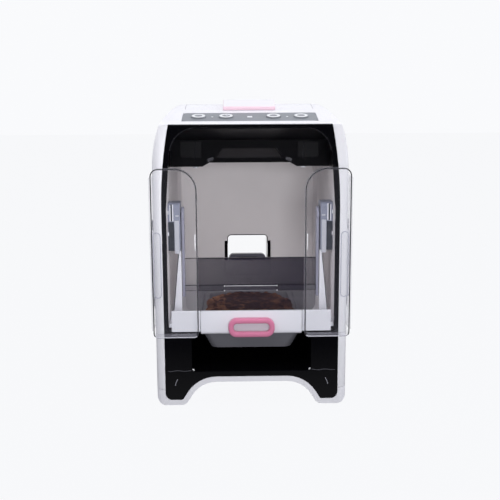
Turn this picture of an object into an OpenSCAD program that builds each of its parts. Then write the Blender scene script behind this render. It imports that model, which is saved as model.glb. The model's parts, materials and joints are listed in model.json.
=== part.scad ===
// Automatic pet feeder: hooded body with a top hopper, a motor-driven visor over the bowl,
// a pull-out bowl drawer and two clear side shields. +X right, +Y to the rear, +Z up.

/* [Body] */
// Width of the hood
body_w = 250; // [248:1:256]
// Front plane of the black fascia
front_y = -140; // [-142:1:-139]
// Rear plane of the hood
rear_y = 158; // [156:1:164]
// Height of the crown
crown_z = 393; // [391:1:397]
// Wall of the hood and of the base cover
shell_t = 3; // [2.6:0.1:3.4]
// Drop from the crown to the top's front edge
brow_drop = 26; // [24:0.5:28]
// Slope of the top behind the front edge, in degrees
brow_slope = 14; // [13:0.5:15]
// Width of the rounded shoulder, seen from the front
shoulder_w = 36; // [34:1:38]
// Height of the rounded shoulder
shoulder_h = 93; // [90:1:96]
// Radius of the rounded rear edge of the top
tail_r = 58; // [54:1:60]
// Radius of the front vertical edges
front_edge_r = 11.5; // [10:0.5:11.5]
// Radius of the rear vertical edges
rear_edge_r = 40; // [34:1:46]
// Width of the seam lines between covers
seam = 0.4; // [0.3:0.1:0.6]

/* [Feet] */
// Height of the parting line above the feet
foot_cap_z = 23; // [21:1:25]
// Height of the arch between the feet
arch_z = 33; // [32:1:34]
// Distance from the hood's side to the inner end of a foot's flat sole
foot_w = 32.7; // [31:0.1:34]
// Radius of the arch shoulders
arch_r = 38; // [36:1:40]
// Angle at which the arch meets the feet, in degrees
arch_angle = 32; // [30:1:34]
// Radius of the inner edge of a foot
foot_r = 10; // [9:0.5:10.5]
// Radius of the outer edge of a foot
foot_out_r = 12; // [11:0.5:13]
// Thickness of the rubber pads below the soles
pad_t = 1.5; // [1:0.1:2]
// Radius of a rubber pad
pad_r = 7; // [6:0.5:8]

/* [Fascia] */
// White rim beside the fascia
rim_side = 11.5; // [11:0.1:12]
// Radius of the fascia's bowed upper sides
fascia_bow_r = 550; // [500:10:600]
// Height below the crown at which the fascia's sides begin to bow
fascia_bow_drop = 133; // [125:1:140]
// White rim below the fascia
rim_low = 7; // [6:0.5:7.5]
// Thickness of the fascia plate
fascia_t = 3; // [2.4:0.1:3]
// Width of each cheek between the hood's side and the feeding cavity
cheek_w = 17.5; // [17.5:0.5:21]
// Drop from the top's front edge to the fascia's opening
mouth_drop = 3; // [3:0.5:5]
// Radius of the opening's top corners
mouth_r = 34; // [30:1:36]
// Width that each side of the fascia's opening narrows towards its top
mouth_narrow = 5; // [4:0.5:5.5]
// Room beside the drawer in the niche
niche_room = 12.5; // [10:0.5:14]
// Floor of the niche
niche_z = 47; // [46:0.5:48]

/* [Cavity] */
// Front face of the cavity's back wall
back_y = 97; // [92:1:100]
// Wall of the cavity liner
liner_t = 2.5; // [2:0.1:2.8]
// Width that the cavity narrows at its rear corners
corner_in = 5; // [4:0.5:7]
// Depth of the narrowed rear corners
corner_d = 16; // [12:1:20]
// Top of the tray band
band_z = 129; // [127:1:130]
// Height of the tray band
band_h = 28; // [26:1:29]
// Gap between the tray band and the cavity's side wall
band_gap = 4; // [3:0.5:5]
// Width of an upright beside the visor at its foot
upright_w = 12.5; // [11:0.5:13]
// Depth of an upright
upright_d = 12; // [10:1:14]
// Top of the deck beside the bowl
deck_z = 112; // [111.5:0.5:113]
// Thickness of the deck
deck_t = 6; // [5:0.5:6.5]
// Drop from the fascia's opening to the top of the ceiling unit
ceiling_drop = 18; // [17:0.5:20]
// Height of the ceiling pods
pod_h = 35; // [33:0.5:37]
// Half width of the recess between the pods, at its top
recess_hw = 36; // [34:1:38]
// Width that the pods' slanted flanks take below the recess
flank_w = 27; // [24:1:28]
// Height of the chamfer at the flanks' lower ends
chamfer_h = 10; // [8:0.5:12]
// Front face of the pods
pod_y = -80; // [-82:1:-78]

/* [Window] */
// Half width of the clear window
win_hw = 31.5; // [29:0.5:33]
// Sill of the clear window
win_low = 130; // [128:1:134]
// Head of the clear window
win_high = 191.8; // [188:0.2:194]
// Side wall of the window frame
win_side = 4.5; // [3:0.5:5]
// Floor and head wall of the window frame
win_t = 2.5; // [2:0.1:3]
// Corner radius of the window
win_r = 5; // [4:0.5:6]
// Depth of the wall above the frame's black side lips
win_lip_drop = 10; // [8:0.5:12]

/* [Hopper] */
// Distance of the lid's side seam from the shoulder's bend
lid_side = 4; // [3:0.5:6]
// Front seam of the lid
lid_front = -64; // [-66:1:-62]
// Hinge axis of the lid
lid_axis_y = 104; // [102:1:106]
// Radius of the lid's rear barrel
lid_barrel_r = 5; // [4.5:0.1:5.5]
// Radius of the lid's hinge pin
lid_pin_r = 1.5; // [1.4:0.1:1.6]
// Width that the lid reaches beyond the hopper bin at its sides
bin_side = 4; // [3.5:0.5:6]
// Distance that the lid reaches beyond the hopper bin at the front
bin_front_gap = 8; // [7.5:0.5:10]
// Distance from the bin's rear to the lid's hinge axis
bin_back_gap = 10.5; // [10:0.5:13]
// Wall of the hopper bin
bin_t = 2.5; // [2:0.1:2.8]
// Drop from the crown to the rim of the hopper bin
bin_drop = 16; // [15.5:0.5:18]
// Height of the hopper's funnel
funnel_h = 22; // [18:1:24]
// Height of the rubber lid seal
seal_h = 3; // [2.5:0.1:3.2]
// Centre of the impeller, front to rear
imp_y = 0; // [-1:0.5:1]
// Height of the impeller's blades
imp_h = 15; // [13:0.5:15.5]
// Radius of the impeller's hub
hub_r = 9; // [8:0.5:11]
// Number of blades
blades = 6; // [5:1:8]
// Tooth module of the feed gears
feed_m = 2; // [1.9:0.05:2]
// Teeth of the impeller's ring gear
ring_teeth = 48; // [48:48:48]
// Teeth of the feed pinion
pinion_teeth = 16; // [16:1:16]
// Width of the latch
latch_w = 69; // [64:1:72]
// Depth of the latch
latch_d = 38; // [34:1:40]
// Height of the latch above the top
latch_h = 5; // [4:0.5:6]
// Travel of the latch
latch_travel = 5; // [4:0.5:5]

/* [Visor] */
// Pivot axis of the visor, front to rear
visor_y = -100; // [-102:1:-99]
// Height of the visor's pivot axis
visor_axis_z = 250; // [248:1:252]
// Room between the visor panel and the cavity's side wall
visor_room = 20.5; // [19:0.5:22]
// Height of the visor's bottom edge above the deck
visor_up = 6; // [5.5:0.5:8]
// Height of the visor panel
visor_h = 74; // [70:1:78]
// Thickness of the visor
visor_t = 3; // [2.5:0.1:3.5]
// Radius of the visor's lower corners
visor_r = 12; // [10:1:14]
// Height of the step above the visor's bottom edge
step_up = 29; // [27:0.5:31]
// Height of the step across the visor
step_h = 9; // [8:0.5:10]
// Distance that the step stands out of the visor
step_out = 4; // [3:0.5:4.5]
// Half width of the grip on the step
grip_hw = 35; // [32:1:38]
// Thickness of a visor arm
arm_t = 3.5; // [3:0.1:4]
// Radius of a visor arm's hub
arm_hub_r = 10; // [9:0.5:11]
// Height of a pivot bracket
bracket_h = 64; // [58:1:68]
// Drop from the visor's axis to a bracket's lower edge
bracket_drop = 47; // [44:1:50]
// Half depth of a pivot bracket
bracket_hd = 16; // [14:1:17]
// Radius of the visor's shafts
shaft_r = 3; // [2.5:0.1:3.5]
// Tooth module of the visor gears
visor_m = 1.5; // [1.4:0.05:1.5]
// Teeth of the visor gear
visor_teeth = 24; // [24:1:24]
// Teeth of the visor pinion
visor_pin_teeth = 12; // [12:1:12]
// Width of the visor gears' teeth
visor_gear_w = 3.5; // [3:0.5:4]

/* [Drawer] */
// Half width of the drawer
drawer_hw = 65.5; // [64.5:0.5:65.5]
// Rear end of the drawer
drawer_back = 40; // [36:1:42]
// Height of the drawer's rim above the deck
drawer_up = 0.5; // [0.5:0.1:0.8]
// Lowest face of the drawer's tub
drawer_low = 76; // [74:1:78]
// Wall of the drawer's tub
drawer_wall = 2.5; // [2.2:0.1:2.8]
// Width of the pull ring
ring_w = 60; // [56:1:64]
// Height of the pull ring
ring_h = 25; // [24:0.5:25]
// Thickness of the pull ring's bar
ring_bar = 7; // [6:0.5:7.5]
// Depth of the pull ring
ring_d = 10; // [8:0.5:11]
// Wall of the food bowl
bowl_t = 2.2; // [1.8:0.1:2.4]
// Corner radius of the drawer's tub and of the bowl
tub_r = 12; // [10:1:14]
// Height of the heap of kibble above the drawer's rim
heap_up = 4; // [3.5:0.1:4.3]

/* [Shields] */
// Gap between the drawer and a side shield
shield_room = 2.1; // [1.7:0.1:3]
// Distance that a shield reaches beyond the hood's side
shield_lap = 2.8; // [2.8:0.1:3]
// Step between a shield's front panel and its side wall
shield_step = 2.4; // [2:0.1:2.6]
// Distance that the side shields stand out before the fascia
shield_stand = 18; // [16:1:20]
// Bottom of the side shields
shield_low = 98; // [96:1:100]
// Height of the side shields
shield_h = 216; // [212:1:220]
// Wall of the side shields
shield_t = 2.4; // [2.2:0.1:2.5]
// Depth of the shields' edge flange
flange_d = 13; // [12:0.5:13.5]
// Distance of a shield's hinge axis from the hood's side
hinge_out = 2.5; // [2.4:0.05:2.6]
// Hinge axis of a shield, front to rear
hinge_y = -108; // [-110:1:-106]
// Radius of the shield hinge pins
hinge_pin_r = 1.2; // [1.1:0.05:1.25]
// Distance of the side bosses from the shields' bottom
boss_up = 43; // [41:1:45]
// Height of the side bosses
boss_h = 90; // [88:1:92]
// Distance that a side boss stands out of the hood
boss_out = 5; // [4.8:0.1:5.2]

/* [Controls] */
// Width of the control bar
bar_w = 173; // [170:1:176]
// Depth of the control bar
bar_d = 41; // [38:1:42]
// Distance of the bar from the front edge, along the slope
bar_gap = 18; // [17:0.5:19]
// Radius of a button
button_r = 9.5; // [9:0.1:9.8]
// Radial gap around a button
button_gap = 0.3; // [0.25:0.05:0.4]
// Travel of a button
button_travel = 1.2; // [1:0.1:1.3]
// Height of a button above the bar
button_up = 1.6; // [1.4:0.1:2]
// Distance of the inner buttons from the middle
button_in = 30.5; // [24:0.5:34]
// Distance of the outer buttons from the middle
button_out = 66; // [56:0.5:72]

/* [Back] */
// Distance of the rear cover's side seam from the hood's rear bend
cover_side = 4; // [2:0.5:8]
// Lower edge of the rear cover
cover_low = 45; // [44:0.5:46]
// Distance of the rear cover's upper edge from the rounded edge of the top
cover_drop = 5; // [3:1:11]
// Radius of the rear cover's corners
cover_r = 12; // [8:1:16]
// Height of the battery door's hinge axis
door_axis_z = 106; // [104:0.5:106]
// Lower edge of the battery door
door_low = 48.6; // [48:0.2:50]
// Radius of the battery door's barrel
door_barrel_r = 3; // [2.6:0.1:3]
// Radius of a C cell with its sleeve
cell_r = 13; // [13:0.1:13.1]
// Length of a C cell
cell_l = 49.8; // [49.4:0.1:50]

/* [Hidden] */
$fn = 48;
eps = 0.01;
gap = 0.3;
fit = 0.05;
sole_z = pad_t;
brow_z = crown_z - brow_drop;
mouth_z = brow_z - mouth_drop;
bow_z = crown_z - fascia_bow_drop;
ceiling_z = mouth_z - ceiling_drop;
pod_z = ceiling_z - pod_h;
arch_rise = sole_z + foot_r - arch_z + arch_r;
foot_cx = body_w / 2 - foot_w;
arch_flat = foot_cx - (foot_r + arch_r - arch_rise * sin(arch_angle)) / cos(arch_angle);
fascia_foot_r = 9;
cavity_hw = body_w / 2 - cheek_w;
liner_out = cavity_hw + liner_t;
niche_hw = drawer_hw + niche_room;
lid_hw = body_w / 2 - shoulder_w - lid_side;
bin_hw = lid_hw - bin_side;
bin_top = crown_z - bin_drop;
bin_front = lid_front + bin_front_gap;
bin_back = lid_axis_y - bin_back_gap;
visor_hw = cavity_hw - visor_room;
shield_in = drawer_hw + shield_room;
shield_out = body_w / 2 + shield_lap;
shield_high = shield_low + shield_h;
boss_low = shield_low + boss_up;
boss_high = boss_low + boss_h;
drawer_top = deck_z + drawer_up;
heap_z = drawer_top + heap_up;
visor_low = deck_z + visor_up;
visor_high = visor_low + visor_h;
hinge_x = body_w / 2 + hinge_out;
crown_r = 150;
crown_rise = crown_r * (1 - cos(brow_slope)) + cos(brow_slope) * (crown_z - brow_z);
crown_y = front_y + crown_rise / sin(brow_slope);
inner_y = front_y + fascia_t;
platform_top = deck_z - deck_t;
platform_t = 3;
platform_z = platform_top - platform_t;
niche_wall = 2.5;
niche_back = drawer_back + 20;
rail_gap = 0.5;
groove_y = inner_y + 1;
deck_in = drawer_hw + 0.7;
rail_out = drawer_hw + 4.3;
band_low = band_z - band_h;
lid_axis_z = crown_z - lid_barrel_r;
wall = 2.5;
mid_z = pod_z + 4;
cup_low = mid_z + wall;
cup_floor = 3;
imp_low = cup_low + cup_floor + 0.5;
bin_floor = imp_low + imp_h + 4;
ring_pitch_r = ring_teeth * feed_m / 2;
pinion_pitch_r = pinion_teeth * feed_m / 2;
blade_r = ring_pitch_r - 3.5;
cup_r = ring_pitch_r + 2.5;
feed_gear_h = 4.5;
feed_gear_z = imp_low + imp_h - feed_gear_h;
feed_x = -(ring_pitch_r + pinion_pitch_r);
feed_motor_r = 6;
feed_motor_h = 10;
outlet_y = imp_y - 28;
outlet_hw = 15;
outlet_hd = 11;
visor_pitch_r = visor_teeth * visor_m / 2;
visor_pin_pitch_r = visor_pin_teeth * visor_m / 2;
visor_gear_x = -(liner_out + 1 + visor_gear_w);
visor_pin_y = visor_y + visor_pitch_r + visor_pin_pitch_r;
arm_out = visor_hw + arm_t;
bracket_in = arm_out + 1;
bracket_low = visor_axis_z - bracket_drop;
slot_hd = 4;
slot_h = 26;
shield_y = front_y - shield_stand;
boss_back = hinge_y + 8;
boss_front = hinge_y - 12;
knuckle_r = hinge_x - body_w / 2 - gap;
knuckle_h = 12.5;
bar_mid = bar_gap + bar_d / 2;
cover_hw = body_w / 2 - rear_edge_r - cover_side;
box_t = 1.5;
door_hw = cell_l + box_t + 0.6;
post_x = arch_flat - 7;
post_inset = [45, 10];
post_y = [front_y + post_inset[0], drawer_back - post_inset[1]];
pad_x = (foot_cx + body_w / 2 - foot_out_r) / 2;
pad_y = [front_y + 28, rear_y - 53];
button_x = [-button_out, -button_in, button_in, button_out];
led_x = [-(button_in + button_out) / 2, (button_in + button_out) / 2];
lens_hw = 3.2;
led_r = 1.4;
board_z = -shell_t - 7;
cover_high = crown_z - tail_r - cover_drop;
pod_in = recess_hw + flank_w;
sensor_x = pod_in + 9;
win_lip_z = win_high - win_lip_drop;

// An elliptical arc of n steps, angles in degrees
function arc(cx, cy, rx, ry, a0, a1, n = 6) =
    [for (k = [0:n]) let (a = a0 + (a1 - a0) * k / n) [cx + rx * cos(a), cy + ry * sin(a)]];

// Half outline closed by its mirror image across the middle plane
function mirrored(half) = concat(half, [for (k = [len(half) - 1:-1:0]) [-half[k][0], half[k][1]]]);

// Rounded rectangle from corner a to corner b with one radius
function rounded(a, b, r, n = 4) = concat(
    arc(b[0] - r, b[1] - r, r, r, 0, 90, n), arc(a[0] + r, b[1] - r, r, r, 90, 180, n),
    arc(a[0] + r, a[1] + r, r, r, 180, 270, n), arc(b[0] - r, a[1] + r, r, r, 270, 360, n));

// Arch, foot and lower side of the hood seen from the front, set in by side and by low
function lower_half(side, low, corner) = concat(
    arc(arch_flat, arch_z - arch_r, arch_r + low, arch_r + low, 90, arch_angle),
    arc(foot_cx, sole_z + foot_r, foot_r - low, foot_r - low, 180 + arch_angle, 270, 4),
    arc(body_w / 2 - side - corner, sole_z + low + corner, corner, corner, 270, 360, 5));

// Hood seen from the front, set in by side at the sides and by low below
function front_outline(side, low, corner) = mirrored(concat(lower_half(side, low, corner),
    arc(body_w / 2 - shoulder_w, crown_z - shoulder_h, shoulder_w - side, shoulder_h - low, 0, 90, 12)));

// Height of the sloped top at y, set in by i
function slope_z(y, i = 0) = brow_z + (y - front_y) * tan(brow_slope) - i / cos(brow_slope);

// Top line of the hood seen from the side, from the crown's bend to the rear, set in by i
function top_line(i) = concat(
    arc(crown_y, crown_z - crown_r, crown_r - i, crown_r - i, 90 + brow_slope, 90, 5),
    arc(rear_y - tail_r, crown_z - tail_r, tail_r - i, tail_r - i, 90, 0, 9));

// Hood seen from the side, set in by i
function side_outline(i) = concat([[front_y + i, -5], [front_y + i, slope_z(front_y + i, i)]],
    top_line(i), [[rear_y - i, -5]]);

// Hood seen from above, set in by i
function plan_outline(i) = mirrored(concat(
    arc(body_w / 2 - front_edge_r, front_y + front_edge_r, front_edge_r - i, front_edge_r - i, 270, 360, 5),
    arc(body_w / 2 - rear_edge_r, rear_y - rear_edge_r, rear_edge_r - i, rear_edge_r - i, 0, 90, 8)));

// Extrusion of an XZ outline from y0 to y1
module along_y(y0, y1) {
    translate([0, y1, 0]) rotate([90, 0, 0]) linear_extrude(y1 - y0) children();
}

// Extrusion of a YZ outline from x0 to x1
module along_x(x0, x1) {
    translate([x0, 0, 0]) rotate([90, 0, 90]) linear_extrude(x1 - x0) children();
}

// Box between two opposite corners
module block(a, b) {
    translate(a) cube(b - a);
}

// The same piece on the left and on the right
module both() {
    children();
    mirror([1, 0, 0]) children();
}

// Frame of the sloped top: +Y up the slope, +Z out of it, origin on the front edge
module on_slope() {
    translate([0, front_y, brow_z]) rotate([brow_slope, 0, 0]) children();
}

// Hood as a full block, set in by i
module body_block(i) {
    intersection() {
        along_y(front_y + i, rear_y - i) polygon(front_outline(i, i, foot_out_r - i));
        along_x(-body_w, body_w) polygon(side_outline(i));
        translate([0, 0, -5]) linear_extrude(crown_z + 10) polygon(plan_outline(i));
    }
}

// Outline of the fascia, set in by extra at its edge
module fascia_outline(extra = 0) {
    polygon(mirrored(concat(lower_half(rim_side + extra, rim_low + extra, fascia_foot_r - extra),
        arc(body_w / 2 - rim_side - fascia_bow_r, bow_z, fascia_bow_r - extra, fascia_bow_r - extra,
            0, asin((brow_z + 8 - bow_z) / fascia_bow_r), 8))));
}

// Region of the base cover: both foot caps and the arch between them
module base_region(extra = 0) {
    block([-body_w, front_y - 5, -5], [body_w, rear_y + 5, foot_cap_z + extra]);
    block([-body_w / 2 + rim_side + 12 - extra, front_y - 5, -5],
        [body_w / 2 - rim_side - 12 + extra, rear_y + 5, cover_low - gap - seam + extra]);
}

// White hood: sides, sloped top and rear corners, open at the front, the lid, the back and below
module outer_shell() {
    color("white") difference() {
        body_block(0);
        body_block(shell_t);
        base_region(seam);
        along_y(front_y - 1, inner_y + eps) fascia_outline();
        block([-lid_hw - seam, lid_front, brow_z + 8],
            [lid_hw + seam, lid_axis_y + lid_barrel_r + seam, crown_z + 5]);
        along_y(rear_y - shell_t - eps, rear_y + 1)
            polygon(rounded([-cover_hw - seam, 0], [cover_hw + seam, cover_high + seam], cover_r));
        on_slope() translate([0, bar_gap, 0]) block([-bar_w / 2 - seam, -seam, -shell_t - 2],
            [bar_w / 2 + seam, bar_d + seam, 2]);
    }
    color("white") both() hinge_ear();
}

// Ear below the top skin that carries one end of the lid's hinge pin
module hinge_ear() {
    ear_x = lid_hw + seam + 0.2;
    ear_top = crown_z - shell_t;
    difference() {
        block([ear_x, lid_axis_y - 6, lid_axis_z - 6], [ear_x + 6, lid_axis_y + 6, ear_top]);
        translate([ear_x - 1, lid_axis_y, lid_axis_z]) rotate([0, 90, 0])
            cylinder(r = lid_pin_r + fit, h = 8);
    }
}

// White base cover: two skid feet joined by the arch
module base_cover() {
    color("whitesmoke") difference() {
        intersection() {
            body_block(0);
            base_region();
        }
        body_block(shell_t);
        along_y(front_y - 1, inner_y + eps) fascia_outline();
        for (x = [-post_x, post_x], y = post_y)
            translate([x, y, arch_z - 1]) cylinder(r = 2.2, h = shell_t + 2);
    }
}

// Plate that closes the back, with the holes for the window frame and the battery door
module rear_cover() {
    ear_x = door_hw + seam;
    color("whitesmoke") difference() {
        union() {
            along_y(rear_y - shell_t, rear_y)
                polygon(rounded([-cover_hw, cover_low], [cover_hw, cover_high], cover_r));
            both() block([ear_x, rear_y - 6.5, door_axis_z - 4],
                [ear_x + 5, rear_y - shell_t + eps, door_axis_z + 4]);
        }
        along_y(rear_y - shell_t - 1, rear_y + 1)
            polygon(rounded([-win_hw - win_side - gap, win_low - win_t - gap],
                [win_hw + win_side + gap, win_high + win_t + gap], win_r));
        block([-ear_x, rear_y - 7, door_low - seam],
            [ear_x, rear_y + 1, door_axis_z + door_barrel_r + 0.6]);
        translate([-ear_x - 4, rear_y - door_barrel_r, door_axis_z]) rotate([0, 90, 0])
            cylinder(r = 1.5 + fit, h = 2 * ear_x + 8);
    }
}

// Gloss black front frame: jambs, legs and the bar under the niche
module front_fascia() {
    color([0.02, 0.02, 0.025]) difference() {
        intersection() {
            along_y(front_y, inner_y) fascia_outline(gap);
            along_x(-body_w, body_w) polygon(side_outline(0));
        }
        along_y(front_y - 1, inner_y + 1) union() {
            polygon(rounded([-niche_hw, niche_z], [niche_hw, band_low + 30], 6));
            polygon(mirrored(concat([[cavity_hw, band_low - gap], [cavity_hw, bow_z]],
                arc(cavity_hw - mouth_narrow - mouth_r, mouth_z - mouth_r, mouth_r, mouth_r,
                    0, 90, 9))));
        }
    }
}

// Cavity seen from above, from y0 to its back wall, grown by extra
function cavity_plan(y0, extra = 0) = mirrored([[cavity_hw + extra, y0],
    [cavity_hw + extra, back_y - corner_d], [cavity_hw - corner_in + extra, back_y + extra]]);

// Grey walls of the feeding cavity: two sides and the back with the window hole
module cavity_liner() {
    color([0.62, 0.61, 0.63]) difference() {
        translate([0, 0, platform_top]) linear_extrude(ceiling_z - platform_top)
            polygon(cavity_plan(inner_y, liner_t));
        translate([0, 0, platform_top - 1]) linear_extrude(ceiling_z - platform_top + 2)
            polygon(cavity_plan(inner_y - 1));
        along_y(back_y - 1, back_y + liner_t + 1)
            polygon(rounded([-win_hw, win_low], [win_hw, win_high], win_r));
        block([-win_hw - win_side - gap, back_y - 1, win_low - win_t - gap],
            [win_hw + win_side + gap, back_y + liner_t + 1, win_lip_z]);
        translate([-liner_out - 1, visor_y, visor_axis_z]) rotate([0, 90, 0])
            cylinder(r = shaft_r + 0.6, h = liner_t + 2);
    }
}

// Black chassis: platform under the deck, the niche and the posts that stand on the arch
module base_frame() {
    niche_out = niche_hw + niche_wall;
    floor_z = niche_z - niche_wall;
    color([0.05, 0.05, 0.055]) difference() {
        union() {
            intersection() {
                block([-body_w, inner_y, platform_z], [body_w, rear_y - shell_t - 6, platform_top]);
                translate([0, 0, platform_z - 1]) linear_extrude(platform_t + 2)
                    polygon(plan_outline(shell_t + gap));
            }
            block([-niche_out, inner_y, floor_z], [niche_out, niche_back + niche_wall, platform_z + eps]);
            for (x = [-post_x, post_x], y = post_y)
                translate([x, y, arch_z + shell_t]) cylinder(r = 5, h = floor_z - arch_z - shell_t + eps);
        }
        block([-niche_hw, inner_y - 1, niche_z], [niche_hw, niche_back, platform_z]);
        block([-rail_out, inner_y - 1, platform_z - 1], [rail_out, niche_back, platform_top + 1]);
        for (x = [-post_x, post_x], y = post_y)
            translate([x, y, arch_z]) cylinder(r = 2 + fit, h = floor_z - arch_z - 1);
    }
}

// White deck round the drawer, with the band's fixed outer parts and an upright at each side
module tray_deck() {
    band_out = cavity_hw - band_gap;
    upright_y = visor_y + upright_d / 2;
    color("white") {
        intersection() {
            union() {
                both() block([deck_in, inner_y - eps, platform_top], [cavity_hw, back_y, deck_z]);
                block([-deck_in - eps, drawer_back + 2, platform_top], [deck_in + eps, back_y, deck_z]);
            }
            linear_extrude(deck_z + 1) polygon(cavity_plan(front_y, -gap));
        }
        both() block([deck_in, front_y, band_low], [band_out, inner_y, band_z]);
        both() along_y(upright_y - upright_d, upright_y) polygon([[bracket_in, deck_z - eps],
            [bracket_in + upright_w, deck_z - eps], [bracket_in + 3, bracket_low - gap],
            [bracket_in, bracket_low - gap]]);
    }
}

// Black ceiling over the cavity: two pods with slanted flanks, the recess between them, the sloped lip
module ceiling_unit() {
    out = cavity_hw - gap;
    back = back_y - gap;
    mid_y = pod_y + 20;
    band_z0 = ceiling_z - 11;
    chamfer_w = flank_w * 2 / 3;
    lip_z = mouth_z - 2;
    lip_t = 2.3;
    motor_seat = feed_gear_z - 2 - feed_motor_h;
    color([0.03, 0.03, 0.035]) difference() {
        union() {
            intersection() {
                both() along_y(pod_y, back) polygon([[pod_in, pod_z], [out, pod_z], [out, ceiling_z],
                    [recess_hw, ceiling_z], [recess_hw, band_z0], [pod_in - chamfer_w, pod_z + chamfer_h]]);
                linear_extrude(ceiling_z + 1) polygon(cavity_plan(front_y, -gap));
            }
            block([-pod_in, mid_y, mid_z], [pod_in, back, ceiling_z]);
            block([-pod_in, pod_y, band_z0], [pod_in, mid_y + eps, ceiling_z]);
            both() block([out - 2, inner_y + gap, pod_z], [out, pod_y + eps, ceiling_z]);
        }
        intersection() {
            both() along_y(pod_y + wall, back - wall) polygon([[pod_in + 1, pod_z + wall],
                [out - wall, pod_z + wall], [out - wall, ceiling_z + 1], [recess_hw + wall, ceiling_z + 1],
                [recess_hw + wall, band_z0 + wall], [pod_in - chamfer_w + 2, pod_z + chamfer_h + wall]]);
            linear_extrude(ceiling_z + 2) polygon(cavity_plan(front_y, -gap - wall));
        }
        block([-pod_in, mid_y + wall, mid_z + wall], [pod_in, back - wall, ceiling_z + 1]);
        block([-pod_in, pod_y + wall, band_z0 + wall], [pod_in, mid_y + wall + eps, ceiling_z + 1]);
        block([-outlet_hw, outlet_y - outlet_hd, mid_z - 1],
            [outlet_hw, outlet_y + outlet_hd, mid_z + wall + 1]);
    }
    color([0.03, 0.03, 0.035]) translate([feed_x, imp_y, pod_z + wall - eps])
        cylinder(r = feed_motor_r - 1, h = motor_seat - pod_z - wall + eps);
    color([0.03, 0.03, 0.035]) along_x(-out, out) polygon([[inner_y + gap, lip_z], [pod_y, ceiling_z],
        [pod_y + wall, ceiling_z - eps], [pod_y + wall, ceiling_z + lip_t], [pod_y, ceiling_z + lip_t],
        [inner_y + gap, lip_z + lip_t]]);
}

// Black tunnel through the body behind the back wall, with a rounded sill grip at its rear end
module window_frame() {
    out = win_hw + win_side;
    color([0.04, 0.04, 0.05]) {
        difference() {
            along_y(back_y, rear_y)
                polygon(rounded([-out, win_low - win_t], [out, win_high + win_t], win_r));
            along_y(back_y - 1, rear_y + 1)
                polygon(rounded([-win_hw, win_low], [win_hw, win_high], win_r));
            block([-out - 1, back_y - 1, win_lip_z - gap], [out + 1, back_y + liner_t + gap, win_high + 9]);
        }
        difference() {
            along_y(rear_y - 12, rear_y - 2) polygon(rounded([-win_hw + 1.5, win_low - eps],
                [win_hw - 1.5, win_low + 22], 7));
            along_y(rear_y - 13, rear_y - 5) polygon(rounded([-win_hw + 13, win_low + 8],
                [win_hw - 13, win_low + 18], 3));
        }
    }
}

// Food bin under the lid, with a funnel down to its round floor hole
module hopper_bin() {
    funnel_top = bin_floor + funnel_h;
    color([0.85, 0.85, 0.87]) difference() {
        block([-bin_hw, bin_front, bin_floor - wall], [bin_hw, bin_back, bin_top]);
        block([-bin_hw + bin_t, bin_front + bin_t, funnel_top],
            [bin_hw - bin_t, bin_back - bin_t, bin_top + 1]);
        hull() {
            translate([0, imp_y, bin_floor]) cylinder(r = blade_r + 0.5, h = 0.1, $fn = 32);
            block([-bin_hw + bin_t, bin_front + bin_t, funnel_top],
                [bin_hw - bin_t, bin_back - bin_t, funnel_top + 0.1]);
        }
        translate([0, imp_y, bin_floor - wall - 1]) cylinder(r = blade_r + 0.5, h = wall + 2, $fn = 96);
    }
}

// Cup below the bin in which the impeller turns, with its outlet and a window for the pinion
module impeller_cup() {
    cup_top = bin_floor - wall;
    color([0.85, 0.85, 0.87]) difference() {
        translate([0, imp_y, cup_low]) cylinder(r = cup_r + wall, h = cup_top - cup_low, $fn = 96);
        translate([0, imp_y, cup_low + cup_floor]) cylinder(r = cup_r, h = cup_top, $fn = 96);
        block([-outlet_hw, outlet_y - outlet_hd, cup_low - 1],
            [outlet_hw, outlet_y + outlet_hd, cup_low + cup_floor + 1]);
        translate([feed_x, imp_y, feed_gear_z - 1])
            cylinder(r = pinion_pitch_r + feed_m + 1, h = cup_top);
    }
    color([0.85, 0.85, 0.87]) translate([0, imp_y, cup_low + cup_floor - eps])
        cylinder(r = 3, h = imp_h - 4);
}

// Rubber ring between the bin's rim and the lid
module lid_seal() {
    color([0.25, 0.25, 0.27]) difference() {
        block([-bin_hw, bin_front, bin_top], [bin_hw, bin_back, bin_top + seal_h]);
        block([-bin_hw + bin_t, bin_front + bin_t, bin_top - 1],
            [bin_hw - bin_t, bin_back - bin_t, bin_top + seal_h + 1]);
    }
}

// Region between the top skin set in by i0 and the one set in by i1
module top_skin(i0, i1, y0, y1, hw) {
    difference() {
        intersection() {
            block([-hw, y0, brow_z], [hw, y1, crown_z + 10]);
            along_x(-hw - 1, hw + 1) polygon(side_outline(i0));
        }
        along_x(-hw - 2, hw + 2) polygon(side_outline(i1));
    }
}

// Lid over the hopper: skin, rim that meets the seal and the barrel at its rear edge
module hopper_lid() {
    rib_z = bin_top + seal_h + 0.2;
    notch_hw = 8.4;
    color("white") difference() {
        union() {
            top_skin(0, shell_t, lid_front + seam, lid_axis_y + eps, lid_hw);
            difference() {
                intersection() {
                    block([-bin_hw + 0.5, bin_front + 0.5, rib_z], [bin_hw - 0.5, bin_back - 0.5, crown_z]);
                    along_x(-bin_hw, bin_hw) polygon(side_outline(shell_t - eps));
                }
                block([-bin_hw + bin_t, bin_front + bin_t, rib_z - 1],
                    [bin_hw - bin_t, bin_back - bin_t, crown_z - shell_t]);
            }
            translate([-lid_hw, lid_axis_y, lid_axis_z]) rotate([0, 90, 0])
                cylinder(r = lid_barrel_r, h = 2 * lid_hw, $fn = 64);
        }
        translate([-lid_hw - 1, lid_axis_y, lid_axis_z]) rotate([0, 90, 0])
            cylinder(r = lid_pin_r + fit, h = 2 * lid_hw + 2);
        block([-notch_hw, lid_front - 1, brow_z], [notch_hw, bin_front + 0.5, crown_z]);
    }
}

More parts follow.
